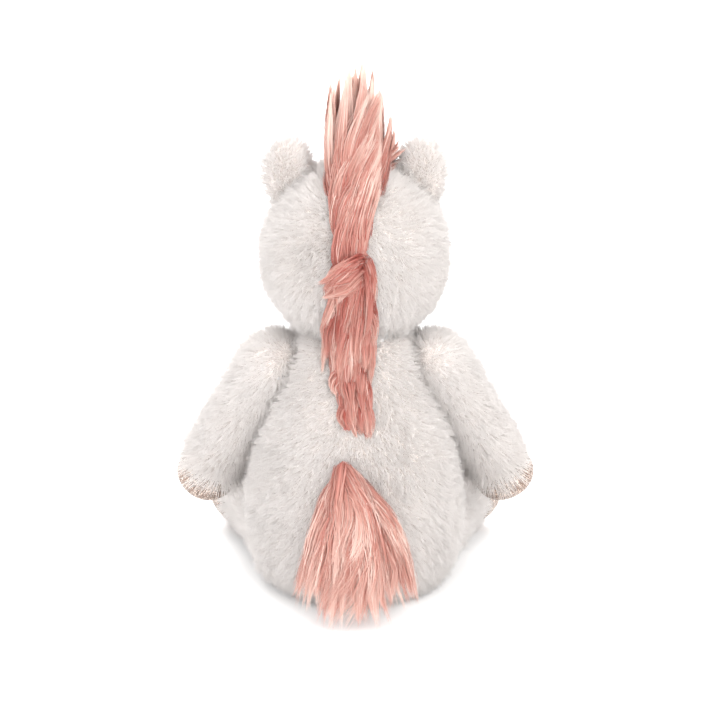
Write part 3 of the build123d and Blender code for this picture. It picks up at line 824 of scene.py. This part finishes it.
def limb_seams(pivot, direction):
    """The seam that runs along the underside of a limb."""
    across = unit(np.cross(direction, UP))
    return lambda p: on_seam(np.abs((p - pivot) @ across)) * ((p - pivot)[:, 2] < 0)


class PLUSH_OT_skins(bpy.types.Operator):
    """The stuffed cloth bodies of torso, head, muzzle, arms and legs, swollen by one simulation, and the padded ears
    """

    bl_idname = "plush.skins"
    bl_label = "Stuffed skins"

    def execute(self, context):
        low, high = corners("muzzle_panel")
        t = np.linspace(0, np.pi, 40)
        egg = np.stack([((high[0] - low[0]) / 2 / MM - INSET) * np.sin(t), -27 * np.cos(t)], 1)
        egg[[0, -1], 0] = 0
        muzzle_at = (0, low[1] + 27 * MM + 1.2 * MM, (low[2] + high[2]) / 2)
        muzzle = turned(egg, 56, muzzle_at, (0, -1, 0))
        soft = {
            "torso": (shell("torso_skin", TORSO, level=True), belly_seams),
            "head": (shell("head_skin", HEAD, level=True), head_seams),
            "muzzle": (build("muzzle_skin", *muzzle, finish(pile_backing)), head_seams),
        }
        for side, _ in SIDES:
            for limb, stations in (("arm", ARM), ("leg", LEG)):
                pivot, direction = limb_line(side, limb)
                skin = shell(f"{limb}_skin_{side}", stations, origin=pivot, direction=direction)
                soft[f"{limb}_{side}"] = skin, limb_seams(pivot, direction)
        stuffed(list(soft.values()))
        SKINS.update({name: skin for name, (skin, _) in soft.items()})
        SKINS.update({f"ear_{side}": ear_skin(side, sign) for side, sign in SIDES})
        for name, skin in SKINS.items():
            belong(skin, name if name in frame["bodies"] else "head")
        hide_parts("base_panel")
        return {"FINISHED"}


def ear_skin(side, sign):
    """A padded lobe. Rings at s = sin v from front to back, each (rx cos u |cos u|^-0.12, rz sin u) times
    (1 - s^2)^0.31, with the front hollowed by up to 2.2 mm."""
    middle, half = middle_half(f"ear_back_{side}")
    sides, rings = 64, 26
    u = np.linspace(0, 2 * np.pi, sides, endpoint=False)
    s = np.sin(np.linspace(-np.pi / 2, np.pi / 2, rings))[:, None]
    reach = np.sqrt(np.clip(1 - s**2, 0, 1)) ** 0.62
    x = sign * (np.cos(u) * np.abs(np.cos(u)) ** -0.12 * reach) * half[0] * 0.97
    z = np.sin(u) * reach * half[2] * np.where(np.sin(u) < 0, 1.06, 1.0) * 0.97
    hollow = np.clip(1 - reach**2, 0, 1) * 2.2 * MM * (s < 0)
    y = s * half[1] + middle[1] + hollow + 0 * u
    inner = np.stack([x + middle[0], y, z + middle[2]], -1)[1:-1]
    ends = inner[[0, -1]].mean(1)
    points = np.vstack([ends[:1], inner.reshape(-1, 3), ends[1:]])
    faces = [f[:, ::-1] if sign > 0 else f for f in closed_faces(rings - 2, sides)]
    return build(f"ear_skin_{side}", points, faces, finish(pile_backing))


class PLUSH_OT_pile(bpy.types.Operator):
    """Short white pile on every plush panel, combed down the body and along the limbs"""

    bl_idname = "plush.pile"
    bl_label = "Short pile"

    def execute(self, context):
        if not SKINS:
            raise RuntimeError("the pile needs the stuffed skins first")
        sizes = context.scene.plush_sizes
        usual = sizes.pile_density, sizes.pile_length, sizes.fibre_width
        self.torso(*usual)
        self.head(*usual)
        self.muzzle(sizes.pile_density * 1.6, sizes.muzzle_pile, sizes.fibre_width * 0.85)
        for side, sign in SIDES:
            self.ear(side, sign, *usual)
            for limb, end, seed in (("arm", 77.5, 318), ("leg", 55.5, 320)):
                self.limb(side, sign, limb, end * MM, seed + sign, *usual)
        return {"FINISHED"}

    def torso(self, density, length, width):
        """Three panels, bare where the limbs and the head are sewn on and under the nape's hair."""
        neck = place("head_nod")
        bare_patches = (("arm", 13.0), ("leg", 16.0))
        limbs = [(*limb_line(side, limb), bare) for side, _ in SIDES for limb, bare in bare_patches]

        def open_cloth(p):
            free = (np.linalg.norm(p - neck, axis=1) > 25 * MM) & (p[:, 2] > 0.8 * MM)
            for pivot, direction, bare in limbs:
                rel = p - pivot
                t = np.maximum(rel @ direction, 0)[:, None]
                free &= np.linalg.norm(rel - t * direction, axis=1) > bare * MM
            return free & ~((p[:, 1] > 0) & (np.abs(p[:, 0]) < STRIP) & (p[:, 2] > 104 * MM))

        def pressed(p):
            """Shorter under the seat."""
            return np.clip(0.25 + p[:, 2] / (10 * MM), 0.25, 1)

        seam = BELLY_SEAM * MM
        panels = {
            "belly": ("belly_panel", lambda p: p[:, 1] < seam),
            "back_left": ("back_panel_left", lambda p: (p[:, 1] >= seam) & (p[:, 0] >= 0)),
            "back_right": ("back_panel_right", lambda p: (p[:, 1] >= seam) & (p[:, 0] < 0)),
        }
        for number, (part, (node, inside)) in enumerate(panels.items()):
            pile(f"{part}_pile", SKINS["torso"], "torso", node, density, length, width, 100 + 10 * number,
                 lean=0.45, keep=lambda p, inside=inside: inside(p) & open_cloth(p), trim=pressed)

    def head(self, density, length, width):
        """Two panels, bare under the crest, muzzle, eyes and horn, and shorter round the eyes."""
        low, high = corners("muzzle_panel")
        muzzle = np.array([0, high[1] - 8 * MM, (low[2] + high[2]) / 2])
        eyes = [middle_half(f"eye_{side}")[0] for side, _ in SIDES]
        low, high = corners("horn")
        horn = np.array([0, high[1] - 7 * MM, low[2] + 7 * MM])

        def open_cloth(p, sign):
            mine = (p[:, 0] * sign >= 0) & (p[:, 2] > 136 * MM)
            free = mine & ~((p[:, 1] > -14 * MM) & (np.abs(p[:, 0]) < STRIP) & (p[:, 2] > 158 * MM))
            free &= ((p - muzzle) ** 2)[:, [0, 2]].sum(1) > (19 * MM) ** 2
            free |= mine & (p[:, 1] > -10 * MM) & (np.abs(p[:, 0]) > STRIP)
            for eye in eyes:
                free &= np.linalg.norm(p - eye, axis=1) > 7.2 * MM
            return free & (np.linalg.norm(p - horn, axis=1) > 10.5 * MM)

        def round_eyes(p):
            near = np.min([np.linalg.norm(p - eye, axis=1) for eye in eyes], axis=0)
            return np.clip(0.55 + (near - 7 * MM) / (10 * MM), 0.55, 1)

        for side, sign in SIDES:
            pile(f"head_pile_{side}", SKINS["head"], "head", f"head_panel_{side}", density * 1.05, length,
                 width, 200 + sign, lean=0.35, keep=lambda p, sign=sign: open_cloth(p, sign), trim=round_eyes)

    def muzzle(self, density, length, width):
        """Very short, with the nostrils and the mouth's line left bare."""
        (_, _, nostril_low), (nostril_x, _, nostril_high) = corners("nostril_stitching")
        holes = [[sign * (nostril_x - 3.2 * MM), (nostril_low + nostril_high) / 2] for sign in (1, -1)]
        mouth_top = corners("mouth_stitching")[1][2]

        def open_cloth(p):
            front = p[:, [0, 2]]
            nostrils = np.min([np.linalg.norm(front - hole, axis=1) for hole in holes], axis=0)
            arc = np.abs(np.linalg.norm(front - [0, mouth_top + 8.5 * MM], axis=1) - 14 * MM)
            lips = (np.abs(p[:, 0]) < 11.5 * MM) & (p[:, 1] < -58 * MM)
            lips &= (arc < 1.3 * MM) & (p[:, 2] < mouth_top)
            outside_head = np.linalg.norm(p[:, :2], axis=1) > 43 * MM
            return outside_head & ((nostrils > 3.6 * MM) | (p[:, 1] > -50 * MM)) & ~lips

        pile("muzzle_pile", SKINS["muzzle"], "head", "muzzle_panel", density, length, width, 230,
             comb=(0, 1, 0), lean=0.7, keep=open_cloth)

    def ear(self, side, sign, density, length, width):
        """All round but for the lining."""
        middle, half = middle_half(f"ear_back_{side}")

        def open_cloth(p):
            lining = (((p - middle) / half)[:, [0, 2]] ** 2).sum(1) < 0.50
            return ~(lining & (p[:, 1] < middle[1]))

        body = f"ear_{side}"
        pile(f"ear_pile_{side}", SKINS[body], body, f"ear_back_{side}", density * 1.2, length * 0.9, width,
             240 + sign, comb=UP, lean=0.35, keep=open_cloth)

    def limb(self, side, sign, limb, end, seed, density, length, width):
        """Down to the cuff at end, where the fibres at the back grow longer over the hoof."""
        pivot, direction = limb_line(side, limb)

        def open_cloth(p):
            return ((p - pivot) @ direction < end) & (np.linalg.norm(p[:, :2], axis=1) >= 36 * MM)

        def cuffed(p):
            t, out = across_line(p, pivot, direction)
            cuff = np.clip((end - t) / (12 * MM), 0, 1)
            back = np.clip(unit(out)[:, 1], 0, 1)
            under = np.clip(0.2 + p[:, 2] / (9 * MM), 0.2, 1) if limb == "leg" else 1
            return (1 + (1 - cuff) * (1.5 * back - 0.2)) * under

        comb = unit(direction + [0.6 * sign, 0, 0]) if limb == "arm" else direction
        body = f"{limb}_{side}"
        pile(f"{limb}_pile_{side}", SKINS[body], body, f"{limb}_sleeve_{side}", density, length, width, seed,
             comb=comb, lean=0.6, keep=open_cloth, trim=cuffed)


class PLUSH_OT_hooves(bpy.types.Operator):
    """Glitter-cloth hooves, gathered where they are sewn to the cuffs, with rounded soles on the legs"""

    bl_idname = "plush.hooves"
    bl_label = "Hooves"

    def execute(self, context):
        profiles = {
            "arm": [(0, 77), (13, 77.3), (16.2, 78.6), (16.9, 83), (16.6, 89), (13.2, 94.8), (7, 97.6),
                    (0, 98.4)],
            "leg": [(0, 55), (17, 55.3), (20.4, 56.6), (21.9, 61), (22.5, 68), (22.2, 73), (20.8, 74.6),
                    (14, 76.3), (0, 77.2)],
        }
        for side, _ in SIDES:
            for limb, stations in profiles.items():
                pivot, direction = limb_line(side, limb)
                cuff = stations[2][1] * MM

                def gathered(p):
                    """Gathers at the cuff seam, r + 0.45 mm sin(26 u) fading over 7 mm, and a soft sag."""
                    t, out = across_line(p, pivot, direction)
                    a, b = axis_frame(direction)
                    u = np.arctan2(out @ b, out @ a)
                    fade = np.clip(1 - (t - cuff) / (7 * MM), 0, 1)
                    gather = 0.45 * MM * np.sin(26 * u + 2 * np.sin(3 * u)) * fade
                    push = gather + 0.5 * MM * drift(p, 11 * MM, 71)[:, 0]
                    return p + unit(out) * push[:, None] * (np.linalg.norm(out, axis=1) > 2 * MM)[:, None]

                points, faces = turned(smooth_line(stations, 44, True), 130, pivot, direction, gathered)
                points[:, 2] = np.maximum(points[:, 2], 0.0001)
                hoof = build(f"{limb}_hoof_cloth_{side}", points, faces, finish(glitter))
                nodes = [f"{limb}_hoof_{side}"] + ([f"leg_sole_{side}"] if limb == "leg" else [])
                belong(hoof, f"{limb}_{side}", nodes)
        return {"FINISHED"}


class PLUSH_OT_horn(bpy.types.Operator):
    """The stuffed glitter horn, pinched along the turns of the metallic thread wound round it"""

    bl_idname = "plush.horn"
    bl_label = "Horn"

    def execute(self, context):
        direction = unit(np.array([0, -0.62, 0.785]))
        base = np.array([0, -29.0, 214.0]) * MM
        a, b = axis_frame(direction)
        length, wide, thin, pitch = 46.0, 9.5, 1.6, 6.5

        def pinched(p):
            """Radius less 0.9 mm in a rounded groove that climbs one pitch each turn, from 9 mm up."""
            t, out = across_line(p, base, direction)
            phase = (t / (pitch * MM) - np.arctan2(out @ b, out @ a) / (2 * np.pi)) % 1
            near = np.minimum(phase, 1 - phase) * pitch
            ends = np.clip((t / MM - 9) / 4, 0, 1) * np.clip((length - t / MM) / 5, 0, 1)
            groove = 0.9 * np.exp(-((near / 1.1) ** 2)) * ends
            r = np.linalg.norm(out, axis=1) / MM
            return p - unit(out) * (np.minimum(groove, r * 0.3) * MM)[:, None]

        stations = [(0, -6), (8.0, -5.8), (wide, -3), (wide * 0.86, 8), (wide * 0.62, 20), (wide * 0.40, 32),
                    (thin + 0.6, 43), (0, 46.4)]
        cone = turned(smooth_line(stations, 150, True), 64, base, direction, pinched)
        belong(build("horn_cloth", *cone, finish(glitter)), "head", ["horn"])

        t = np.linspace(11, 43, 420)
        angle = t / pitch * 2 * np.pi
        radius = np.interp(t, [s[1] for s in stations], [s[0] for s in stations]) - 0.45
        turns = np.cos(angle)[:, None] * a + np.sin(angle)[:, None] * b
        path = base + (t * MM)[:, None] * direction + (radius * MM)[:, None] * turns
        winding = build("horn_thread", *carried(path, 0.42 * MM, 8), finish(metal_thread))
        belong(winding, "head", ["horn_winding"])
        return {"FINISHED"}


class PLUSH_OT_ears(bpy.types.Operator):
    """The satin linings that show inside the ears"""

    bl_idname = "plush.ears"
    bl_label = "Ear linings"

    def execute(self, context):
        for side, _ in SIDES:
            middle, half = middle_half(f"ear_back_{side}")
            rings, sides = 16, 56
            u = np.linspace(0, 2 * np.pi, sides, endpoint=False)
            s = np.linspace(0.02, 1, rings)[:, None]
            x = middle[0] + half[0] * 0.66 * s * np.cos(u)
            z = middle[2] + half[2] * 0.68 * s * np.sin(u) - 1.0 * MM
            puff = half[1] * (1 - (s * 0.66) ** 2) ** 0.5 - 1.3 * MM + 0.9 * MM * (1 - s**6)
            crease = drift(np.stack([x, 0 * x, z], -1).reshape(-1, 3), 7 * MM, 91)[:, 0].reshape(x.shape)
            y = middle[1] - puff + 0.5 * MM * crease * (1 - s)
            front = np.stack([x, y, z], -1).reshape(-1, 3)
            points = np.vstack([front, front[:sides].mean(0)])
            i = np.arange(sides)
            cap = np.stack([(i + 1) % sides, i, np.full(sides, len(front))], -1)
            faces = [ring_faces(rings, sides)[:, ::-1], cap[:, ::-1]]
            lining = build(f"ear_satin_{side}", points, faces, finish(satin))
            wall = lining.modifiers.new("cloth", "SOLIDIFY")
            wall.thickness = 0.5 * MM
            wall.offset = -1
            bake(lining)
            belong(lining, f"ear_{side}", [f"ear_lining_{side}"])
        return {"FINISHED"}


# Lines on the toy's middle plane that hair follows, as (y, z) in millimetres: up the back of the head and on
# upwards, and down over the neck to the upper back.
RISE = [(48.3, 186), (48.6, 193), (47.5, 202), (44, 212), (37, 223), (29, 235), (21, 248), (14, 262), (7, 283)]
FALL = [(48.2, 200), (48.8, 187), (46.5, 173), (42, 163), (38.5, 153), (38.5, 141), (43, 126), (46.5, 114),
        (50, 99)]
# Where the forelock's wisps end, as (x, z) in millimetres.
WISPS = np.array([[11.5, 281], [8.0, 286], [4.0, 290], [0.0, 288], [-4.0, 292], [-9.5, 286], [-13.5, 276],
                  [-18.0, 270], [-20.5, 256]])


def spots(*parts):
    """One place to a row, from a number or an array for each of its parts."""
    return np.stack(np.broadcast_arrays(*parts), -1)


def beside(stations, along, aside, lift, roundness=46.0):
    """Points in metres from places beside a line: millimetres along it, aside of it (+x) and lifted off it. The
    cloth falls away on each side as aside^2 / (2 roundness), and past its end the line runs on straight."""
    line = smooth_line(stations, 400)
    total = np.linalg.norm(np.diff(line, axis=0), axis=1).sum()
    run = unit(np.gradient(line, axis=0))
    out = np.stack([-run[:, 1], run[:, 0]], 1)
    out = out * np.sign(out[0, 0])
    at = np.clip(along / total, 0, 1) * 399
    y, z, ny, nz = (np.interp(at, np.arange(400), v) for v in (*line.T, *out.T))
    height = lift - aside**2 / (2 * roundness)
    past = np.maximum(along - total, 0)
    return np.stack([aside, y + ny * height + past * run[-1, 0], z + nz * height + past * run[-1, 1]], -1) * MM


def combed(stations, *controls):
    """Guides from four rows of places each (along, aside, lift), as cubic curves laid beside a line."""
    flat = bezier(*controls, 8)
    return beside(stations, flat[..., 0], flat[..., 1], flat[..., 2])


def hair_piece(name, guides, axis, body, nodes, seed, spread, per_lock, width, fray=0.6, tip_spread=0.16,
               fade=(0.0, 0.95)):
    """One piece of long hair round the guides, shaded away from the axis. spread is in millimetres, per guide."""
    outward = away_from(guides, *axis)
    paths, out, wide, tone = locks(guides, outward, int(per_lock), spread * MM, width, seed, tip_spread, fray)
    made = ribbons(paths, out, wide, np.random.default_rng(seed + 9))
    obj = strands_piece(name, made, finish(mane_hair), tone, fade)
    belong(obj, body, nodes)
    return obj


class PLUSH_OT_mane(bpy.types.Operator):
    """The long mane: an upswept crest, an upright forelock, and locks that fall over the neck and upper back"""

    bl_idname = "plush.mane"
    bl_label = "Mane"

    def execute(self, context):
        sizes = context.scene.plush_sizes
        for step in (self.crest, self.forelock, self.side_lock, self.neck, self.nape):
            step(sizes.strands_per_lock, sizes.strand_width)
        return {"FINISHED"}

    def crest(self, per_lock, width):
        """Rooted on the strip, swung aside, then brushed across and up past the crown."""
        rows = (("mane_crest_low", 0, 24, []), ("mane_crest_high", 20, 52, ["crest_mane"]))
        count = 100
        for number, (name, low, high, nodes) in enumerate(rows):
            rng = np.random.default_rng(41 + number)
            s0, x0 = rng.uniform(low, high, count), rng.uniform(-6, 6, count)
            long, layer = rng.uniform(34, 56, count), rng.random(count)
            x1 = np.clip(x0 + rng.normal(6.5, 3.5, count), -7, 14.5)
            x3 = np.clip(x1 - 0.40 * long + rng.normal(0, 3.5, count), -13.5, 10)
            guides = combed(
                RISE,
                spots(s0, x0, 0.6),
                spots(s0 + 1 + 0.06 * long, x1, 2 + 7 * layer),
                spots(s0 + 0.50 * long, x1 * 0.55 + x3 * 0.45 + rng.normal(0, 1.5, count), 2 + 9 * layer),
                spots(s0 + long, x3, 8 * layer - 3),
            )
            hair_piece(name, guides, ((0, 0, 0.165), (0, 0, 0.215)), "head", nodes, 43 + number,
                       rng.uniform(2.0, 4.0, count), per_lock, width)

    def forelock(self, per_lock, width):
        """A soft upright body, and long wisps that gather to points over it."""
        layers = (("forelock_body", 96, 0.15, 0.70, 1, []), ("forelock_hair", 54, 0.80, 1.0, 2, ["forelock"]))
        for number, (name, count, low, high, thick, nodes) in enumerate(layers):
            rng = np.random.default_rng(51 + number)
            x, y = rng.uniform(-13, 12, count), rng.uniform(-20, 36, count)
            z = 235.5 - (x**2 + y**2) / 92
            root = spots(x, y, z)
            apart = x[:, None] * 1.3 - 1.5 - WISPS[None, :, 0] + rng.normal(0, 2.5, (count, 1))
            own = WISPS[np.argmin(np.abs(apart), 1)]
            far = rng.uniform(low, high, count)
            tip = spots(own[:, 0] + rng.normal(0, 0.8, count), y * 0.42 - 3 + rng.normal(0, 2, count),
                        z + 6 + (own[:, 1] - z - 6) * far)
            rise = tip[:, 2] - z
            p1 = root + spots(x * 0.28 + 1.5, y * 0.16 + 1, rise * 0.34)
            p2 = tip * [1, 1, 0] + spots(x * 0.10 + 0.5, 2.0, z + rise * 0.66)
            guides = bezier(root * MM, p1 * MM, p2 * MM, tip * MM, 8)
            hair_piece(name, guides, ((0, -0.005, 0.20), (0, -0.006, 0.30)), "head", nodes, 52 + number,
                       rng.uniform(2.4, 4.4, count), per_lock * thick, width * 0.9, tip_spread=0.03,
                       fade=(0.15 + 0.1 * number, 1.0 + 0.1 * number))

    def side_lock(self, per_lock, width):
        """A short lock that leans aside next to the right ear."""
        rng = np.random.default_rng(55)
        count = 22
        root = spots(rng.uniform(-15, -9, count), rng.uniform(-4, 12, count), 231.0) * MM
        tip = spots(rng.uniform(-27, -18, count), rng.uniform(-2, 10, count), rng.uniform(230, 249, count)) * MM
        guides = bezier(root, root + [-0.001, 0, 0.006], tip + [0.003, 0, -0.004], tip, 8)
        hair_piece("side_lock", guides, ((0, 0, 0.19), (-0.010, 0, 0.215)), "head", [], 56,
                   rng.uniform(1.6, 3.0, count), per_lock * 0.8, width)

    def neck(self, per_lock, width):
        """Locks that part from the upswept ones and fall over the neck, with a few that cross over them."""
        rng = np.random.default_rng(61)
        count, over = 104, 16
        s0, x0 = rng.uniform(4, 42, count), rng.uniform(-6, 6, count)
        long, layer = rng.uniform(26, 44, count), rng.random(count)
        lean = rng.normal(4.5, 4.5, count) * (1 - s0 / 70)
        falling = combed(
            FALL,
            spots(s0, x0, 0.6),
            spots(s0 + 2, x0 * 1.3 + lean * 0.8 - 1, 2 + 10 * layer),
            spots(s0 + 0.60 * long, np.clip(x0 * 1.7 + lean * 1.6, -11, 17), 1 + 10 * layer),
            spots(s0 + long, np.clip(x0 * 1.3 + lean * 1.5 + rng.normal(0, 2, count), -10, 17),
                  0.5 + 6 * layer),
        )
        s0, x0 = rng.uniform(3, 15, over), rng.uniform(-6, 1, over)
        crossing = combed(
            FALL,
            spots(s0, x0, 1.0),
            spots(s0 + rng.uniform(-6, 2, over), x0 - 2, 11.5),
            spots(s0 + rng.uniform(0, 7, over), x0 + 9, 12.5),
            spots(s0 + rng.uniform(6, 18, over), x0 + rng.uniform(12, 20, over), 7.0),
        )
        guides = np.concatenate([falling, crossing])
        hair = hair_piece("mane_neck", guides, ((0, 0, 0.10), (0, 0, 0.21)), None, [], 62,
                          rng.uniform(1.8, 3.8, count + over), per_lock, width, fade=(-0.05, 0.68))
        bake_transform(hair)

    def nape(self, per_lock, width):
        """Locks on the upper back that draw in to a point."""
        rng = np.random.default_rng(71)
        count = 94
        s0 = rng.uniform(44, 91, count)
        share = (s0 - 44) / 47
        x0 = rng.uniform(-1, 1, count) * (6 - 1.6 * share)
        long = rng.uniform(18, 30, count) * (1 - 0.45 * share)
        layer = rng.random(count)
        lean = rng.normal(3.0, 3.0, count) * (1 - share)
        guides = combed(
            FALL,
            spots(s0, x0, 0.6),
            spots(s0 + 2, x0 * 1.4 + lean, (1.5 + 8.5 * layer) * (1 - 0.4 * share)),
            spots(s0 + 0.60 * long, np.clip(x0 * 2.0 + lean * 1.8, -10, 15),
                  (1 + 9 * layer) * (1 - 0.4 * share)),
            spots(s0 + long, np.clip(x0 * 1.5 + lean * 1.4 - 2.5 * share, -9, 14), 0.5 + 4 * layer),
        )
        hair_piece("mane_nape", guides, ((0, 0, 0.10), (0, 0, 0.14)), "torso", ["nape_mane"], 72,
                   rng.uniform(1.6, 3.4, count), per_lock * 0.9, width, fade=(-0.05, 0.68))


class PLUSH_OT_tail(bpy.types.Operator):
    """The tail: a full tuft of long locks that spread from a tab in the back seam down to the floor"""

    bl_idname = "plush.tail"
    bl_label = "Tail"

    def execute(self, context):
        sizes = context.scene.plush_sizes
        pivot = place("tail_lift")
        middle_x = middle_half("tail_tuft")[0][0]
        line = smooth_line([(0, 22), (7, 25), (13, 33), (13, 45), (10, 57), (5, 66), (0, 70)], 40, True)
        points, faces = turned(line, 48)
        points = points * [1.0, 0.40, 1.0]
        points[:, 1] += np.interp(points[:, 2], [0, 0.08], [71.5 * MM, 59 * MM])
        points[:, 0] += middle_x + (points[:, 2] / 0.08) * 4 * MM
        belong(build("tail_core", points, faces, finish(hair_backing)), "tail")

        layers = (
            ("tail_hair_under", 2.7, 0.74, 92, 0.7, []),
            ("tail_hair", 1.75, 1.0, 160, 0.95, ["tail_tuft"]),
        )
        for number, (name, swing, depth, count, thick, nodes) in enumerate(layers):
            rng = np.random.default_rng(81 + number)
            turn = rng.uniform(-swing, swing, count)
            a, back = np.sin(turn), np.cos(turn)
            fall, drop = rng.beta(1.7, 1.0, count), rng.random(count)
            start = spots(a * (0.4 + 7 * drop) + 4 * (1 - drop), 1.0 + 1.5 * np.maximum(back, 0), 3 - 12 * drop)
            root = pivot + start * MM
            tip_z = 70 - fall * (68 - 14 * a**2)
            levels = [2, 20, 40, 62, 72]
            wide = np.interp(tip_z, levels, [30, 33, 27, 16, 7])
            deep = np.interp(tip_z, levels, [15, 15.5, 13.5, 9.5, 6])
            mid_y = np.interp(tip_z, levels, [71, 71, 69, 64, 60])
            curl = np.clip(1 - np.abs(a), 0.15, 1) * rng.normal(10.0, 8.0, count)
            end_x = middle_x / MM + a * wide * depth + 1.0 + 0.45 * curl
            tip = spots(end_x, mid_y + back * deep * depth, tip_z) * MM
            first_swell = (4 + 5 * np.maximum(back, -0.2)) * depth
            p1 = root + spots(a * 3 - 0.2 * curl, first_swell, rng.uniform(-8, 2, count)) * MM
            swell = (3 + 7 * np.maximum(back, -0.3)) * depth
            p2 = root * 0.40 + tip * 0.60 + spots(a * 4 - 1.5 * curl + rng.normal(0, 3, count), swell, 5) * MM
            axis = ((middle_x, 64 * MM, 0.005), (pivot[0], 58 * MM, 0.078))
            hair_piece(name, bezier(root, p1, p2, tip, 9), axis, "tail", nodes, 83 + number,
                       rng.uniform(2.0, 4.2, count) * depth, sizes.strands_per_lock * thick, sizes.strand_width,
                       fray=1.2, tip_spread=0.38, fade=(0.34, 0.84))
        return {"FINISHED"}


class PLUSH_OT_inner(bpy.types.Operator):
    """Finishes for the pieces kept as they are: eyes, washers, stitching, strips, stuffing and pellets"""

    bl_idname = "plush.inner"
    bl_label = "Eyes, stitching and filling"

    def execute(self, context):
        wanted = {
            eye_gloss: ("eye_left", "eye_right"),
            plain_plastic: ("eye_washer_left", "eye_washer_right", "pellet_fill"),
            thread: ("nostril_stitching", "mouth_stitching"),
            strip_cloth: ("crest_strip", "nape_strip", "tail_tab"),
            pouch_weave: ("pellet_pouch",),
        }
        chosen = {name: make for make, names in wanted.items() for name in names}
        for name, node in NODES.items():
            if node.hide_render:
                continue
            make = chosen.get(name, fibre_fill if "stuffing" in name else None)
            if make is None:
                raise RuntimeError(f"{name} is shown and has no finish")
            node.data.materials.clear()
            node.data.materials.append(finish(make))
        return {"FINISHED"}


class PLUSH_OT_stage(bpy.types.Operator):
    """The pale floor, the soft lights and the camera"""

    bl_idname = "plush.stage"
    bl_label = "Stage"

    def execute(self, context):
        scene = context.scene
        square = np.array([[-1, -1, 0], [1, -1, 0], [1, 1, 0], [-1, 1, 0]]) * 12.0
        floor = build("floor", square, [np.array([[0, 1, 2, 3]])], finish(floor_paper), smooth=False)

        world = bpy.data.worlds.new("studio")
        world.use_nodes = True
        sky = world.node_tree.nodes["Background"].inputs
        sky["Color"].default_value = (1.0, 1.0, 1.0, 1.0)
        sky["Strength"].default_value = 1.29
        scene.world = world
        for name, at, aim, wide, power, tint in (
            ("key", (-0.8, 1.6, 1.1), (0, 0, 0.12), 1.6, 41.0, (1.0, 0.99, 0.98)),
            ("fill", (1.3, 1.2, 0.6), (0, 0, 0.12), 1.4, 18.0, (0.99, 0.99, 1.0)),
            ("top", (0.1, -0.1, 1.9), (0, 0, 0.1), 1.4, 8.0, (1.0, 1.0, 1.0)),
            ("front", (0.3, -1.7, 1.0), (0, 0, 0.12), 1.6, 36.0, (1.0, 1.0, 1.0)),
        ):
            lamp = bpy.data.lights.new(name, "AREA")
            lamp.size = wide
            lamp.energy = power
            lamp.color = tint
            obj = bpy.data.objects.new(name, lamp)
            obj.location = at
            aim_at(obj, aim)
            scene.collection.objects.link(obj)

        camera = bpy.data.cameras.new("camera")
        camera.lens = 119.0
        camera.sensor_width = 36.0
        camera.clip_end = 20.0
        eye = bpy.data.objects.new("camera", camera)
        target = np.array([-0.0027, 0.0, 0.127])
        distance, rise = 1.30, np.radians(15.0)
        eye.location = target + distance * np.array([0.0, np.cos(rise), np.sin(rise)])
        aim_at(eye, target)
        scene.collection.objects.link(eye)
        scene.camera = eye
        scene.view_settings.view_transform = "Standard"
        scene.view_settings.look = "None"
        return {"FINISHED"}


def aim_at(obj, target):
    """Turns an object's -Z towards a point with its Y as near up as it goes."""
    back = unit(np.array(obj.location, float) - np.asarray(target, float))
    side = unit(np.cross(UP, back))
    rows = np.stack([side, np.cross(back, side), back], 1)
    turn = Matrix(rows.tolist()).to_4x4()
    turn.translation = obj.location
    obj.matrix_world = turn


STEPS = ("skins", "pile", "hooves", "horn", "ears", "mane", "tail", "inner", "stage")


class PLUSH_PT_panel(bpy.types.Panel):
    """Lists the steps and the sizes and colours"""

    bl_idname = "PLUSH_PT_panel"
    bl_label = "Plush unicorn"
    bl_space_type = "VIEW_3D"
    bl_region_type = "UI"
    bl_category = "Plush"

    def draw(self, context):
        column = self.layout.column()
        for group in (context.scene.plush_sizes, context.scene.plush_colours):
            for key in group.__annotations__:
                column.prop(group, key)
        for step in STEPS:
            column.operator(f"plush.{step}")


CLASSES = (
    PlushSizes, PlushColours, PLUSH_OT_skins, PLUSH_OT_pile, PLUSH_OT_hooves, PLUSH_OT_horn, PLUSH_OT_ears,
    PLUSH_OT_mane, PLUSH_OT_tail, PLUSH_OT_inner, PLUSH_OT_stage, PLUSH_PT_panel,
)


def register():
    for each in CLASSES:
        bpy.utils.register_class(each)
    bpy.types.Scene.plush_sizes = PointerProperty(type=PlushSizes)
    bpy.types.Scene.plush_colours = PointerProperty(type=PlushColours)


def unregister():
    del bpy.types.Scene.plush_colours
    del bpy.types.Scene.plush_sizes
    for each in reversed(CLASSES):
        bpy.utils.unregister_class(each)


def main():
    register()
    for step in STEPS:
        getattr(bpy.ops.plush, step)()


if __name__ == "__main__":
    main()
